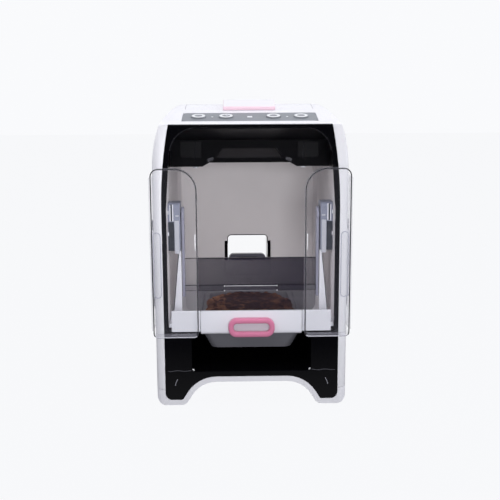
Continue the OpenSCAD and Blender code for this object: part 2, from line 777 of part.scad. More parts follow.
// Steel pin of the lid's hinge
module lid_hinge_pin() {
    half = lid_hw + seam + 0.2 + 6;
    color("silver") translate([-half, lid_axis_y, lid_axis_z]) rotate([0, 90, 0])
        cylinder(r = lid_pin_r, h = 2 * half);
}

// Pink latch that slides up the slope on the lid's front edge
module lid_latch() {
    y0 = lid_front - 6;
    y1 = y0 + latch_d;
    under = shell_t + 0.5;
    stem_y0 = lid_front + 0.9;
    stem_y1 = bin_front + 0.3 - latch_travel;
    color([0.85, 0.5, 0.62]) along_x(-latch_w / 2, latch_w / 2) polygon([[y0, slope_z(y0, -gap)],
        [y1, slope_z(y1, -gap)], [y1, slope_z(y1, -latch_h)], [y0 + 1.5, slope_z(y0 + 1.5, -latch_h)],
        [y0, slope_z(y0, -latch_h + 1.5)]]);
    color([0.85, 0.5, 0.62]) along_x(-8, 8) polygon([[stem_y0, slope_z(stem_y0, -gap - eps)],
        [stem_y0, slope_z(stem_y0, under + 2.5)], [stem_y1, slope_z(stem_y1, under + 2.5)],
        [stem_y1, slope_z(stem_y1, -gap - eps)]]);
    color([0.85, 0.5, 0.62]) along_x(-14, 14) polygon([[stem_y0, slope_z(stem_y0, under)],
        [stem_y0, slope_z(stem_y0, under + 2.5)], [stem_y1, slope_z(stem_y1, under + 2.5)],
        [stem_y1, slope_z(stem_y1, under)]]);
}

// Outline of a spur gear with straight-flanked teeth, one tooth centred at angle a0
function gear_outline(teeth, m, a0) = let (rp = teeth * m / 2, step = 360 / teeth)
    [for (k = [0:teeth - 1], p = [[-0.30, -1.1], [-0.13, 0.8], [0.13, 0.8], [0.30, -1.1]])
        let (a = a0 + (k + p[0]) * step, r = rp + p[1] * m) [r * cos(a), r * sin(a)]];

// Impeller that sweeps kibble round to the outlet
module impeller() {
    color([0.9, 0.6, 0.7]) translate([0, imp_y, imp_low]) difference() {
        union() {
            cylinder(r = hub_r, h = imp_h + 3);
            translate([0, 0, imp_h + 3 - eps]) cylinder(r1 = hub_r, r2 = 3, h = 6);
            for (k = [0:blades - 1]) rotate([0, 0, 30 + 360 * k / blades])
                translate([0, -1.25, 0]) cube([blade_r, 2.5, imp_h]);
        }
        translate([0, 0, -1]) cylinder(r = 3 + fit, h = imp_h - 2);
    }
}

// Toothed ring round the impeller's blades
module impeller_gear() {
    color([0.8, 0.8, 0.82]) translate([0, imp_y, feed_gear_z]) difference() {
        linear_extrude(feed_gear_h) polygon(gear_outline(ring_teeth, feed_m, 180));
        translate([0, 0, -1]) cylinder(r = blade_r, h = feed_gear_h + 2, $fn = 96);
    }
}

// Pinion on the feed motor's shaft
module feed_pinion() {
    color([0.75, 0.75, 0.78]) translate([feed_x, imp_y, feed_gear_z]) difference() {
        linear_extrude(feed_gear_h) polygon(gear_outline(pinion_teeth, feed_m, 180 / pinion_teeth));
        translate([0, 0, -1]) cylinder(r = 1.5 + fit, h = feed_gear_h + 2);
    }
}

// Geared motor on its seat in the left pod
module feed_motor() {
    low = feed_gear_z - 2 - feed_motor_h;
    color("silver") translate([feed_x, imp_y, low]) {
        cylinder(r = feed_motor_r, h = feed_motor_h);
        cylinder(r = 1.5, h = feed_gear_z + feed_gear_h - low);
    }
}

// Smoked panel over the bowl, with a step and a grip
module visor() {
    front = visor_y - visor_t;
    face = front - step_out;
    low = visor_low + step_up;
    color([0.3, 0.28, 0.3, 0.6]) union() {
        along_y(front, visor_y) polygon(concat(
            arc(visor_hw - visor_r, visor_low + visor_r, visor_r, visor_r, 270, 360),
            [[visor_hw, visor_high], [-visor_hw, visor_high]],
            arc(-visor_hw + visor_r, visor_low + visor_r, visor_r, visor_r, 180, 270)));
        along_x(-visor_hw, visor_hw) polygon([[front + eps, low], [face, low + 1],
            [face, low + step_h - 1.5], [front + eps, low + step_h]]);
        along_x(-grip_hw, grip_hw) polygon([[face + eps, low + 1], [face - step_out, low + 2.5],
            [face - step_out, low + step_h - 1], [face + eps, low + step_h - 1.5]]);
    }
}

// Arm from a pivot down to one end of the visor
module visor_arm() {
    foot_z = visor_low + 22;
    color([0.7, 0.7, 0.74]) difference() {
        union() {
            translate([visor_hw, visor_y, visor_axis_z]) rotate([0, 90, 0])
                cylinder(r = arm_hub_r, h = arm_t);
            along_x(visor_hw, arm_out) polygon([[visor_y - 6, foot_z], [visor_y + 5, foot_z],
                [visor_y + 8, visor_axis_z], [visor_y - 8, visor_axis_z]]);
        }
        translate([visor_hw - 1, visor_y, visor_axis_z]) rotate([0, 90, 0])
            cylinder(r = shaft_r + fit, h = arm_t + 2);
    }
}
module visor_arm_left() { mirror([1, 0, 0]) visor_arm(); }
module visor_arm_right() { visor_arm(); }

// Two steel shafts: the left one drives the visor through the cavity wall
module visor_shafts() {
    left_end = visor_gear_x - 0.5;
    color("silver") translate([left_end, visor_y, visor_axis_z]) rotate([0, 90, 0])
        cylinder(r = shaft_r, h = -visor_hw - left_end);
    color("silver") translate([visor_hw, visor_y, visor_axis_z]) rotate([0, 90, 0])
        cylinder(r = shaft_r, h = cavity_hw - gap - visor_hw);
}

// Gear on the visor's left shaft
module visor_gear() {
    color([0.8, 0.8, 0.82]) translate([visor_gear_x, visor_y, visor_axis_z]) rotate([0, 90, 0]) difference() {
        linear_extrude(visor_gear_w) polygon(gear_outline(visor_teeth, visor_m, 90));
        translate([0, 0, -1]) cylinder(r = shaft_r + fit, h = visor_gear_w + 2);
    }
}

// Pinion that turns the visor gear
module visor_pinion() {
    color([0.75, 0.75, 0.78]) translate([visor_gear_x, visor_pin_y, visor_axis_z]) rotate([0, 90, 0])
        difference() {
            linear_extrude(visor_gear_w)
                polygon(gear_outline(visor_pin_teeth, visor_m, -90 + 180 / visor_pin_teeth));
            translate([0, 0, -1]) cylinder(r = 1.5 + fit, h = visor_gear_w + 2);
        }
}

// Flat geared motor between the cavity wall and the hood
module visor_motor() {
    x0 = -body_w / 2 + shell_t + gap;
    x1 = visor_gear_x - 0.8;
    color("silver") union() {
        block([x0, visor_pin_y - 11, visor_axis_z - 12], [x1, visor_pin_y + 11, visor_axis_z + 12]);
        translate([x1 - eps, visor_pin_y, visor_axis_z]) rotate([0, 90, 0])
            cylinder(r = 1.5, h = visor_gear_x + visor_gear_w - x1);
    }
}

// Bearing block on a side wall of the cavity
module pivot_bracket() {
    color([0.55, 0.57, 0.64]) difference() {
        along_x(bracket_in, cavity_hw) polygon(rounded([visor_y - bracket_hd, bracket_low],
            [visor_y + bracket_hd, bracket_low + bracket_h], 6));
        translate([bracket_in - 1, visor_y, visor_axis_z]) rotate([0, 90, 0])
            cylinder(r = shaft_r + fit, h = cavity_hw);
        block([bracket_in - 1, visor_y - slot_hd, bracket_low + 7],
            [bracket_in + 5, visor_y + slot_hd, bracket_low + 7 + slot_h]);
    }
}
module pivot_bracket_left() { mirror([1, 0, 0]) pivot_bracket(); }
module pivot_bracket_right() { pivot_bracket(); }

// Thin rounded slab of the drawer's tub or bowl at height z
module slab(hw, y0, y1, z, r = tub_r) {
    translate([0, 0, z]) linear_extrude(0.1) polygon(rounded([-hw, y0], [hw, y1], r, 5));
}

// Tub with straight upper walls and tapered lower walls
module tub(inset, top, low) {
    y0 = front_y + 2;
    taper = 10;
    edge = inset + 1.5;
    hull() {
        slab(drawer_hw - edge, y0 + edge, drawer_back - edge, band_low - 3);
        slab(drawer_hw - edge - taper, y0 + edge + taper, drawer_back - edge - taper, low);
    }
    translate([0, 0, band_low - 3]) linear_extrude(top - band_low + 3)
        polygon(rounded([-drawer_hw + edge, y0 + edge], [drawer_hw - edge, drawer_back - edge], tub_r, 5));
}

// White drawer: band front, rim with side grooves and the tub below
module bowl_drawer() {
    well = 3.5;
    color("white") difference() {
        union() {
            block([-drawer_hw, front_y + 1, band_low - 3], [drawer_hw, drawer_back, drawer_top]);
            block([-drawer_hw, front_y - 2, band_low], [drawer_hw, front_y + 2, band_z]);
            tub(0, drawer_top - 1, drawer_low);
        }
        tub(well, drawer_top + 1, drawer_low + drawer_wall);
        both() block([drawer_hw - 3, groove_y, platform_z],
            [drawer_hw + 1, drawer_back + 1, platform_top]);
    }
}

// Pink pull ring on the drawer's front
module drawer_ring() {
    z0 = band_low - 5;
    y1 = front_y - 2;
    color([0.85, 0.45, 0.6]) difference() {
        along_y(y1 - ring_d, y1) polygon(rounded([-ring_w / 2, z0], [ring_w / 2, z0 + ring_h], 11, 7));
        along_y(y1 - ring_d - 1, y1 + 1) polygon(rounded([-ring_w / 2 + ring_bar, z0 + ring_bar],
            [ring_w / 2 - ring_bar, z0 + ring_h - ring_bar], 4.5, 6));
    }
}

// Bowl that lifts out of the drawer's tub
module food_bowl() {
    inset = 3.9;
    low = drawer_low + drawer_wall + 0.3;
    color([0.9, 0.9, 0.92]) difference() {
        union() {
            tub(inset, drawer_top, low);
            translate([0, 0, drawer_top]) linear_extrude(1.5) polygon(rounded([-drawer_hw + 2, front_y + 4],
                [drawer_hw - 2, drawer_back - 2], tub_r, 5));
        }
        tub(inset + bowl_t, drawer_top + 3, low + bowl_t);
    }
}

// Heap of dry kibble in the bowl
module kibble() {
    hw = drawer_hw - 1.5 - 3.9 - bowl_t;
    low = drawer_low + drawer_wall + 0.3 + bowl_t;
    color([0.3, 0.17, 0.12]) hull() {
        slab(hw - 11, front_y + 26, drawer_back - 21, low);
        slab(hw - 4, front_y + 32, drawer_back - 12, band_low);
        slab(hw - 24, front_y + 62, drawer_back - 24, heap_z - 0.1, 20);
    }
}

// Runner beside the drawer, with a tongue in the drawer's groove
module drawer_rail() {
    web_in = drawer_hw + rail_gap;
    color([0.2, 0.2, 0.22]) union() {
        block([web_in, groove_y + gap, platform_z - 4], [rail_out, niche_back, platform_top]);
        block([web_in - 2.7, groove_y + gap, platform_z + gap],
            [web_in + eps, drawer_back + 2, platform_top - gap]);
    }
}
module drawer_rail_left() { mirror([1, 0, 0]) drawer_rail(); }
module drawer_rail_right() { drawer_rail(); }

// Clear side shield: front panel, edge flange, side wall and the two hinge knuckles
module side_shield() {
    y1 = shield_y + flange_d;
    wall_y = boss_front - 1;
    ear_z = [boss_low - 0.4 - knuckle_h, boss_high + 0.4];
    panel_out = shield_out - shield_step;
    outline = concat(
        arc(panel_out - 10, shield_high - 10, 10, 10, 0, 90, 6),
        arc(shield_in + 28, shield_high - 28, 28, 28, 90, 180, 10),
        arc(shield_in + 6, shield_low + 6, 6, 6, 180, 270, 4),
        arc(panel_out - 6, shield_low + 6, 6, 6, 270, 360, 4));
    inner = concat(
        arc(panel_out - 10, shield_high - 10, 10 - shield_t, 10 - shield_t, 0, 90, 6),
        arc(shield_in + 28, shield_high - 28, 28 - shield_t, 28 - shield_t, 90, 180, 10),
        arc(shield_in + 6, shield_low + 6, 6 - shield_t, 6 - shield_t, 180, 270, 4),
        arc(panel_out - 6, shield_low + 6, 6 - shield_t, 6 - shield_t, 270, 360, 4));
    color([0.85, 0.87, 0.9, 0.3]) difference() {
        union() {
            along_y(shield_y, y1) polygon(outline);
            along_x(panel_out - shield_t, shield_out)
                polygon(rounded([y1 - 8, shield_low + 8], [y1, shield_high - 12], 3));
            along_x(shield_out - shield_t, shield_out)
                polygon(rounded([y1 - 8, shield_low + 8], [wall_y, shield_high - 12], 3));
            for (z = ear_z) {
                block([shield_out - shield_t, wall_y - 5, z], [shield_out, hinge_y, z + knuckle_h]);
                translate([hinge_x, hinge_y, z]) cylinder(r = knuckle_r, h = knuckle_h);
            }
        }
        along_y(shield_y + shield_t, y1 + 1) polygon(inner);
        for (z = ear_z) translate([hinge_x, hinge_y, z - 1])
            cylinder(r = hinge_pin_r + fit, h = knuckle_h + 2);
    }
}
module side_shield_left() { mirror([1, 0, 0]) side_shield(); }
module side_shield_right() { side_shield(); }

// Boss on the side of the hood that carries a shield's pin
module shield_mount() {
    color("white") difference() {
        along_x(body_w / 2, body_w / 2 + boss_out)
            polygon(rounded([boss_front, boss_low], [boss_back, boss_high], 8));
        translate([hinge_x, hinge_y, boss_low - 1])
            cylinder(r = hinge_pin_r + fit, h = boss_high - boss_low + 2);
    }
}
module shield_mount_left() { mirror([1, 0, 0]) shield_mount(); }
module shield_mount_right() { shield_mount(); }

// Hinge pin of a side shield
module shield_pin() {
    color("silver") translate([hinge_x, hinge_y, boss_low - 0.4 - knuckle_h])
        cylinder(r = hinge_pin_r, h = boss_high - boss_low + 0.8 + 2 * knuckle_h);
}
module shield_pin_left() { mirror([1, 0, 0]) shield_pin(); }
module shield_pin_right() { shield_pin(); }

// Grey control bar in the slope, with the holes for buttons, lights and display
module control_panel() {
    color([0.5, 0.52, 0.53]) on_slope() {
        difference() {
            translate([0, 0, -shell_t]) linear_extrude(shell_t)
                polygon(rounded([-bar_w / 2, bar_gap], [bar_w / 2, bar_gap + bar_d], 7, 6));
            for (x = button_x) translate([x, bar_mid, -shell_t - 1])
                cylinder(r = button_r + button_gap, h = shell_t + 2);
            for (x = led_x) translate([x, bar_mid, -shell_t - 1]) cylinder(r = led_r, h = shell_t + 2);
            block([-lens_hw, bar_mid - lens_hw, -shell_t - 1], [lens_hw, bar_mid + lens_hw, 1]);
        }
        for (x = [-bar_w / 2 + 6, bar_w / 2 - 6], y = [bar_gap + 7, bar_gap + bar_d - 7])
            translate([x, y, board_z]) cylinder(r = 2.5, h = -board_z - shell_t);
    }
}

// Push button with a retaining collar and a stem
module button(x) {
    color([0.56, 0.58, 0.6]) on_slope() translate([x, bar_mid, 0]) {
        translate([0, 0, -shell_t - 0.3]) cylinder(r = button_r, h = shell_t + 0.3 + button_up);
        translate([0, 0, -shell_t - 1.3]) cylinder(r = button_r + 1.2, h = 1);
        translate([0, 0, board_z + 1.2 + button_travel + 0.1])
            cylinder(r = 2, h = -shell_t - 1.3 - board_z - 1.3 - button_travel);
    }
}
module button_1() { button(button_x[0]); }
module button_2() { button(button_x[1]); }
module button_3() { button(button_x[2]); }
module button_4() { button(button_x[3]); }

// Two light pipes between the buttons
module status_leds() {
    color("white") on_slope() for (x = led_x)
        translate([x, bar_mid, board_z]) cylinder(r = led_r - fit, h = 0.3 - board_z);
}

// Small display window in the middle of the bar
module display_lens() {
    color("white") on_slope() block([-lens_hw + fit, bar_mid - lens_hw + fit, -shell_t],
        [lens_hw - fit, bar_mid + lens_hw - fit, 0.2]);
}

// Circuit board under the control bar
module main_board() {
    color([0.1, 0.35, 0.2]) on_slope() block([-bar_w / 2 + 2, bar_gap + 3, board_z - 1.6],
        [bar_w / 2 - 2, bar_gap + bar_d - 3, board_z]);
}

// Four snap domes under the button stems
module switch_domes() {
    color("silver") on_slope() for (x = button_x)
        translate([x, bar_mid, board_z]) cylinder(r = 3, h = 1.2);
}

// Tray for the cells behind the niche
module battery_box() {
    hw = door_hw - 0.5;
    back = rear_y - 8;
    front = back - 2 * cell_r - box_t - 0.5;
    low = platform_z - 4 * cell_r - 4;
    color([0.1, 0.1, 0.11]) difference() {
        block([-hw, front, low], [hw, back, platform_z]);
        block([-hw + box_t, front + box_t, low + 1.6], [hw - box_t, back + 1, platform_z - 1.2]);
    }
}

// Four cells in two rows
module batteries() {
    low = platform_z - 4 * cell_r - 2.3;
    y = rear_y - 8.3 - cell_r;
    color([0.25, 0.28, 0.32]) for (x = [0.5 - cell_l, 0.5], z = [low + cell_r - 0.05, low + 3 * cell_r + 0.3])
        translate([x, y, z]) rotate([0, 90, 0]) cylinder(r = cell_r - 0.1, h = cell_l - 1);
}

// Door over the cells, hung from its top edge
module battery_door() {
    axis_y = rear_y - door_barrel_r;
    color("whitesmoke") {
        block([-door_hw, rear_y - shell_t, door_low], [door_hw, rear_y, door_axis_z + eps]);
        translate([-door_hw, axis_y, door_axis_z]) rotate([0, 90, 0])
            cylinder(r = door_barrel_r, h = 2 * door_hw);
        translate([-door_hw - 4.4, axis_y, door_axis_z]) rotate([0, 90, 0])
            cylinder(r = 1.5, h = 2 * door_hw + 8.8);
    }
}

// Tag-reading coil in the right pod
module antenna_coil() {
    z0 = pod_z + wall;
    x0 = pod_in + 2;
    x1 = cavity_hw - 8;
    coil_w = 5;
    color([0.55, 0.3, 0.15]) difference() {
        block([x0, pod_y + 10, z0], [x1, imp_y + 50, z0 + 3]);
        block([x0 + coil_w, pod_y + 10 + coil_w, z0 - 1], [x1 - coil_w, imp_y + 50 - coil_w, z0 + 4]);
    }
}

// Two small sensor windows under the pods' front edges
module proximity_sensors() {
    color([0.6, 0.6, 0.65]) both() translate([sensor_x, pod_y + 6, pod_z - 1.8])
        cylinder(r = 3.4, h = 1.8);
}

// Four rubber pads under the feet
module rubber_feet() {
    color([0.15, 0.15, 0.16]) for (x = [-pad_x, pad_x], y = pad_y)
        translate([x, y, 0]) cylinder(r = pad_r, h = pad_t);
}

// Four screws that hold the base cover to the chassis
module screws() {
    color("silver") for (x = [-post_x, post_x], y = post_y) {
        translate([x, y, arch_z - 1.8]) cylinder(r = 3.8, h = 1.8);
        translate([x, y, arch_z - eps]) cylinder(r = 2, h = niche_z - niche_wall - arch_z - 2);
    }
}

outer_shell();
base_cover();
rear_cover();
front_fascia();
cavity_liner();
base_frame();
tray_deck();
ceiling_unit();
window_frame();
hopper_bin();
impeller_cup();
lid_seal();
hopper_lid();
lid_hinge_pin();
lid_latch();
impeller();
impeller_gear();
feed_pinion();
feed_motor();
visor();
visor_arm_left();
visor_arm_right();
visor_shafts();
visor_gear();
visor_pinion();
visor_motor();
pivot_bracket_left();
pivot_bracket_right();
bowl_drawer();
drawer_ring();
food_bowl();
kibble();
drawer_rail_left();
drawer_rail_right();
side_shield_left();
side_shield_right();
shield_mount_left();
shield_mount_right();
shield_pin_left();
shield_pin_right();
control_panel();
button_1();
button_2();
button_3();
button_4();
status_leds();
display_lens();
main_board();
switch_domes();
battery_box();
batteries();
battery_door();
antenna_coil();
proximity_sensors();
rubber_feet();
screws();
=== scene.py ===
"""Studio scene of an automatic pet feeder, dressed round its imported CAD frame. Metres, front at -Y."""
import json
import math
import random

import bmesh
import bpy
from mathutils import Matrix, Vector


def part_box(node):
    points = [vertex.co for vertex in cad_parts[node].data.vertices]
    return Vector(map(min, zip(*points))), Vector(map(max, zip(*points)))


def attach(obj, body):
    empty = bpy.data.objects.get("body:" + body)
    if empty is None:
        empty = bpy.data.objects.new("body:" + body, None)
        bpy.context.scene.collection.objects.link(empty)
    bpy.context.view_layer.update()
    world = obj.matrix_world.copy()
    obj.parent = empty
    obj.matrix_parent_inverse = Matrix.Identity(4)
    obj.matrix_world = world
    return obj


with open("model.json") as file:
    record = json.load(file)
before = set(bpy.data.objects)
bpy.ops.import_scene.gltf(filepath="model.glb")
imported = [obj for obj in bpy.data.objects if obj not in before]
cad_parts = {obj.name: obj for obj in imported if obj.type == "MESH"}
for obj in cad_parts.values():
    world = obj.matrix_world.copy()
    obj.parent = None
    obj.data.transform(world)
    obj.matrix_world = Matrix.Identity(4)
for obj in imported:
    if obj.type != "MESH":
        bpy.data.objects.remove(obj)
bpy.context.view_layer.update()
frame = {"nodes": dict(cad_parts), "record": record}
MM = 0.001
WINDOW_FOOT = 151.2             # height of the window's lower edge, mm
BUTTON_SLOPE = math.radians(14)
BUTTON_FLANGE = 1.2             # how far a button's box reaches past its round top, mm
rng = random.Random(7)


# ---------------------------------------------------------------- materials

# Sockets of a Mix node: first, second and result, when it mixes colours and when it mixes numbers
COLOUR_A, COLOUR_B, COLOUR_OUT = 6, 7, 2
NUMBER_A, NUMBER_B, NUMBER_OUT = 2, 3, 0


def new_material(name):
    """A new node material, its node tree and its Principled shader."""
    mat = bpy.data.materials.new(name)
    mat.use_nodes = True
    return mat, mat.node_tree, mat.node_tree.nodes["Principled BSDF"]


def split(tree, vector):
    """X, Y and Z outputs of a vector."""
    axes = tree.nodes.new("ShaderNodeSeparateXYZ")
    tree.links.new(vector, axes.inputs[0])
    return axes.outputs


def object_axes(tree):
    """X, Y and Z of the object's own coordinates, in metres."""
    return split(tree, tree.nodes.new("ShaderNodeTexCoord").outputs["Object"])


def object_noise(tree, scale, detail, stretch=(1, 1, 1)):
    """Noise in object coordinates, which are scaled along each axis by stretch."""
    coords = tree.nodes.new("ShaderNodeTexCoord")
    mapping = tree.nodes.new("ShaderNodeMapping")
    mapping.inputs["Scale"].default_value = stretch
    noise = tree.nodes.new("ShaderNodeTexNoise")
    noise.inputs["Scale"].default_value = scale
    noise.inputs["Detail"].default_value = detail
    tree.links.new(coords.outputs["Object"], mapping.inputs["Vector"])
    tree.links.new(mapping.outputs["Vector"], noise.inputs["Vector"])
    return noise.outputs["Fac"]


def ramp(tree, source, low, high):
    """A colour that runs from low to high over the middle of source's range."""
    node = tree.nodes.new("ShaderNodeValToRGB")
    for element, place, colour in zip(node.color_ramp.elements, (0.3, 0.7), (low, high)):
        element.position = place
        element.color = (*colour, 1)
    tree.links.new(source, node.inputs["Fac"])
    return node.outputs["Color"]


def graded(tree, source, limits, values):
    """A number that runs between two values as source runs between limits."""
    node = tree.nodes.new("ShaderNodeMapRange")
    node.inputs["From Min"].default_value, node.inputs["From Max"].default_value = limits
    node.inputs["To Min"].default_value, node.inputs["To Max"].default_value = values
    tree.links.new(source, node.inputs["Value"])
    return node.outputs["Result"]


def times(tree, one, two):
    """Product of two numbers."""
    node = tree.nodes.new("ShaderNodeMath")
    node.operation = "MULTIPLY"
    tree.links.new(one, node.inputs[0])
    tree.links.new(two, node.inputs[1])
    return node.outputs[0]


def recoloured(mat, share, other):
    """Turns mat's base colour into another one by share."""
    tree = mat.node_tree
    base = tree.nodes["Principled BSDF"].inputs["Base Color"]
    mix = tree.nodes.new("ShaderNodeMix")
    mix.data_type = "RGBA"
    tree.links.new(share, mix.inputs["Factor"])
    tree.links.new(base.links[0].from_socket, mix.inputs[COLOUR_A])
    mix.inputs[COLOUR_B].default_value = (*other, 1)
    tree.links.new(mix.outputs[COLOUR_OUT], base)
    return mat


def moulded(name, colour, rough, vary=0.03, grain=900, bump=0.02, coat=0.0, metal=0.0, stretch=(1, 1, 1)):
    """Moulded plastic or metal: slight colour drift, uneven gloss and a fine surface texture."""
    mat, tree, shader = new_material(name)
    low = tuple(c * (1 - vary) for c in colour)
    high = tuple(min(1, c * (1 + vary)) for c in colour)
    tree.links.new(ramp(tree, object_noise(tree, 14, 2), low, high), shader.inputs["Base Color"])
    fine = object_noise(tree, grain, 4, stretch)
    gloss = graded(tree, fine, (0, 1), (rough * 0.85, min(1, rough * 1.2)))
    tree.links.new(gloss, shader.inputs["Roughness"])
    relief = tree.nodes.new("ShaderNodeBump")
    relief.inputs["Strength"].default_value = bump
    relief.inputs["Distance"].default_value = 0.0002
    tree.links.new(fine, relief.inputs["Height"])
    tree.links.new(relief.outputs["Normal"], shader.inputs["Normal"])
    shader.inputs["Coat Weight"].default_value = coat
    shader.inputs["Coat Roughness"].default_value = 0.04
    shader.inputs["Metallic"].default_value = metal
    return mat


def lit_on_top(name, colour, top, rough):
    """Moulded plastic whose upper faces are painted a paler colour, a painted highlight where light from
    above falls.
    """
    mat = moulded(name, colour, rough, 0.03, 900, 0.012, coat=0.2)
    tree = mat.node_tree
    normal = split(tree, tree.nodes.new("ShaderNodeNewGeometry").outputs["Normal"])
    return recoloured(mat, graded(tree, normal["Z"], (0.55, 0.97), (0, 1)), top)


def zoned(mat, axis, limits, other):
    """Gives mat another colour past limits along an object axis, with a soft change between them."""
    tree = mat.node_tree
    return recoloured(mat, graded(tree, object_axes(tree)[axis], limits, (0, 1)), other)


def clear_plastic(name, colour, rough, face, rim, blend=0.35):
    """Clear or smoked sheet: alpha runs from face, seen straight on, to rim, seen edge on."""
    mat, tree, shader = new_material(name)
    shader.inputs["Base Color"].default_value = (*colour, 1)
    marks = object_noise(tree, 60, 5)
    tree.links.new(graded(tree, marks, (0, 1), (rough * 0.6, rough * 1.5)), shader.inputs["Roughness"])
    edge = tree.nodes.new("ShaderNodeLayerWeight")
    edge.inputs["Blend"].default_value = blend
    tree.links.new(graded(tree, edge.outputs["Facing"], (0, 1), (face, rim)), shader.inputs["Alpha"])
    return mat


def thinned(mat, fades):
    """Multiplies mat's alpha by factors that change between two places along an object axis."""
    tree = mat.node_tree
    alpha = tree.nodes["Principled BSDF"].inputs["Alpha"]
    level = alpha.links[0].from_socket
    axes = object_axes(tree)
    for axis, limits, factors in fades:
        level = times(tree, level, graded(tree, axes[axis], limits, factors))
    tree.links.new(level, alpha)
    return mat


def each_its_own(mat, low, high):
    """Gives every loose part of a mesh its own brightness, between low and high."""
    tree = mat.node_tree
    base = tree.nodes["Principled BSDF"].inputs["Base Color"]
    island = tree.nodes.new("ShaderNodeNewGeometry").outputs["Random Per Island"]
    tint = tree.nodes.new("ShaderNodeHueSaturation")
    tree.links.new(graded(tree, island, (0, 1), (low, high)), tint.inputs["Value"])
    tree.links.new(base.links[0].from_socket, tint.inputs["Color"])
    tree.links.new(tint.outputs["Color"], base)
    return mat


# Colours that two or more materials share
GLOSS_TONE = (0.0022, 0.0022, 0.0032)
LINER_TONE = (0.74, 0.705, 0.725)
TRAY_TONE = (0.74, 0.745, 0.81)

# Where the visor's alpha changes, and how: (axis, limits in metres, factors on alpha); the two middle X
# ramps are painted shade, paler to the left and darker to the right
VISOR_FADES = (("X", (-0.0718, -0.0706), (0.18, 1.0)), ("X", (-0.060, 0.0), (0.82, 1.0)),
               ("X", (0.0, 0.055), (1.0, 1.10)), ("X", (0.0706, 0.0718), (1.0, 0.60)),
               ("Z", (0.146, 0.1475), (0.72, 1.0)))
# Heights where two nodes change colour, in metres; the drawer's grey below its band is painted shade
TUB_SHADE_CHANGE = (0.0995, 0.0975)               # the drawer is tray white above and grey below
WINDOW_CHANGE = (WINDOW_FOOT * MM, 0.1500)  # the window frame is black above and like the liner below

WHITE = moulded("white_gloss", (0.83, 0.83, 0.875), 0.28, 0.012, 1200, 0.012, coat=0.25)
BASE_WHITE = moulded("white_satin", (0.78, 0.78, 0.83), 0.36, 0.015, 1200, 0.02, coat=0.1)
# Tray white, also used for the brackets' painted glints
TRAY_AND_GLINT_WHITE = moulded("tray_white", TRAY_TONE, 0.25, 0.012, 1000, 0.012, coat=0.2)
BLACK_GLOSS = moulded("black_gloss", GLOSS_TONE, 0.13, 0.1, 700, 0.008)
BLACK_SATIN = moulded("black_satin", (0.0042, 0.0042, 0.0055), 0.30, 0.1, 900, 0.03)
LINER_GREY = moulded("liner_grey", LINER_TONE, 0.5, 0.02, 1100, 0.02)
PINK = moulded("accent_pink", (0.60, 0.19, 0.32), 0.30, 0.03, 900, 0.012, coat=0.2)
# Its upward faces are painted near white, a painted highlight
LATCH_PINK = lit_on_top("latch_pink", (0.93, 0.68, 0.79), (0.83, 0.82, 0.86), 0.30)
BAR_GREY = moulded("bar_grey", (0.22, 0.235, 0.26), 0.42, 0.03, 900, 0.015)
BUTTON_GREY = moulded("button_grey", (0.25, 0.265, 0.29), 0.45, 0.03, 1300, 0.03)
# White of the buttons' real markings, also used for painted glints on the shields, legs and visor grip
MARK_AND_GLINT_WHITE = moulded("white_marking_and_painted_glint", (0.80, 0.81, 0.84), 0.4, 0.02, 1500, 0.01)
ARM_GREY = moulded("arm_grey", (0.27, 0.27, 0.35), 0.34, 0.03, 900, 0.02)
ARM_LIGHT = moulded("arm_light", (0.44, 0.45, 0.51), 0.34, 0.03, 900, 0.02)
BRACKET_GREY = moulded("bracket_grey", (0.22, 0.235, 0.31), 0.38, 0.05, 900, 0.03)
STEEL = moulded("brushed_steel", (0.55, 0.55, 0.57), 0.25, 0.04, 600, 0.05, metal=1.0, stretch=(1, 14, 14))
ZINC = moulded("zinc_can", (0.42, 0.42, 0.44), 0.38, 0.06, 300, 0.06, metal=0.8)
ACETAL = moulded("gear_acetal", (0.70, 0.69, 0.66), 0.45, 0.03, 900, 0.03)
SILICONE = moulded("impeller_silicone", (0.62, 0.28, 0.40), 0.5, 0.04, 700, 0.04)
FROSTED = moulded("hopper_frosted", (0.60, 0.60, 0.64), 0.5, 0.03, 700, 0.04)
RUBBER = moulded("rubber", (0.025, 0.025, 0.027), 0.75, 0.12, 1600, 0.15)
RAIL_DARK = moulded("rail_dark", (0.05, 0.05, 0.055), 0.4, 0.08, 800, 0.03)
BOARD_GREEN = moulded("board_green", (0.01, 0.10, 0.04), 0.35, 0.1, 500, 0.03, coat=0.3)
CELL = moulded("cell_sleeve", (0.05, 0.06, 0.08), 0.3, 0.05, 400, 0.02, metal=0.4)
COPPER = moulded("coil_enamel", (0.40, 0.13, 0.05), 0.3, 0.08, 1500, 0.1, metal=0.8, stretch=(1, 1, 20))
LENS = moulded("sensor_lens", (0.60, 0.60, 0.66), 0.1, 0.05, 600, 0.01, coat=0.5)
BOWL_WHITE = moulded("bowl_white", (0.62, 0.62, 0.66), 0.3, 0.02, 900, 0.015, coat=0.2)
KIBBLE = moulded("kibble_brown", (0.17, 0.085, 0.052), 0.78, 0.35, 260, 0.5)
# Drawer: tray white above its band and painted grey below it, a painted shade under the band
TUB_SHADED = zoned(moulded("drawer_white_painted_shade", TRAY_TONE, 0.25, 0.012, 1000, 0.012, coat=0.2), "Z", TUB_SHADE_CHANGE,
                 (0.135, 0.135, 0.155))
WINDOW_BLACK = zoned(moulded("window_black", GLOSS_TONE, 0.13, 0.1, 700, 0.008), "Z", WINDOW_CHANGE,
                     LINER_TONE)
SMOKE = thinned(clear_plastic("visor_smoke", (0.016, 0.013, 0.026), 0.07, 0.62, 0.93, 0.3), VISOR_FADES)
CLEAR = clear_plastic("shield_clear", (0.50, 0.50, 0.58), 0.03, 0.01, 0.50, 0.25)
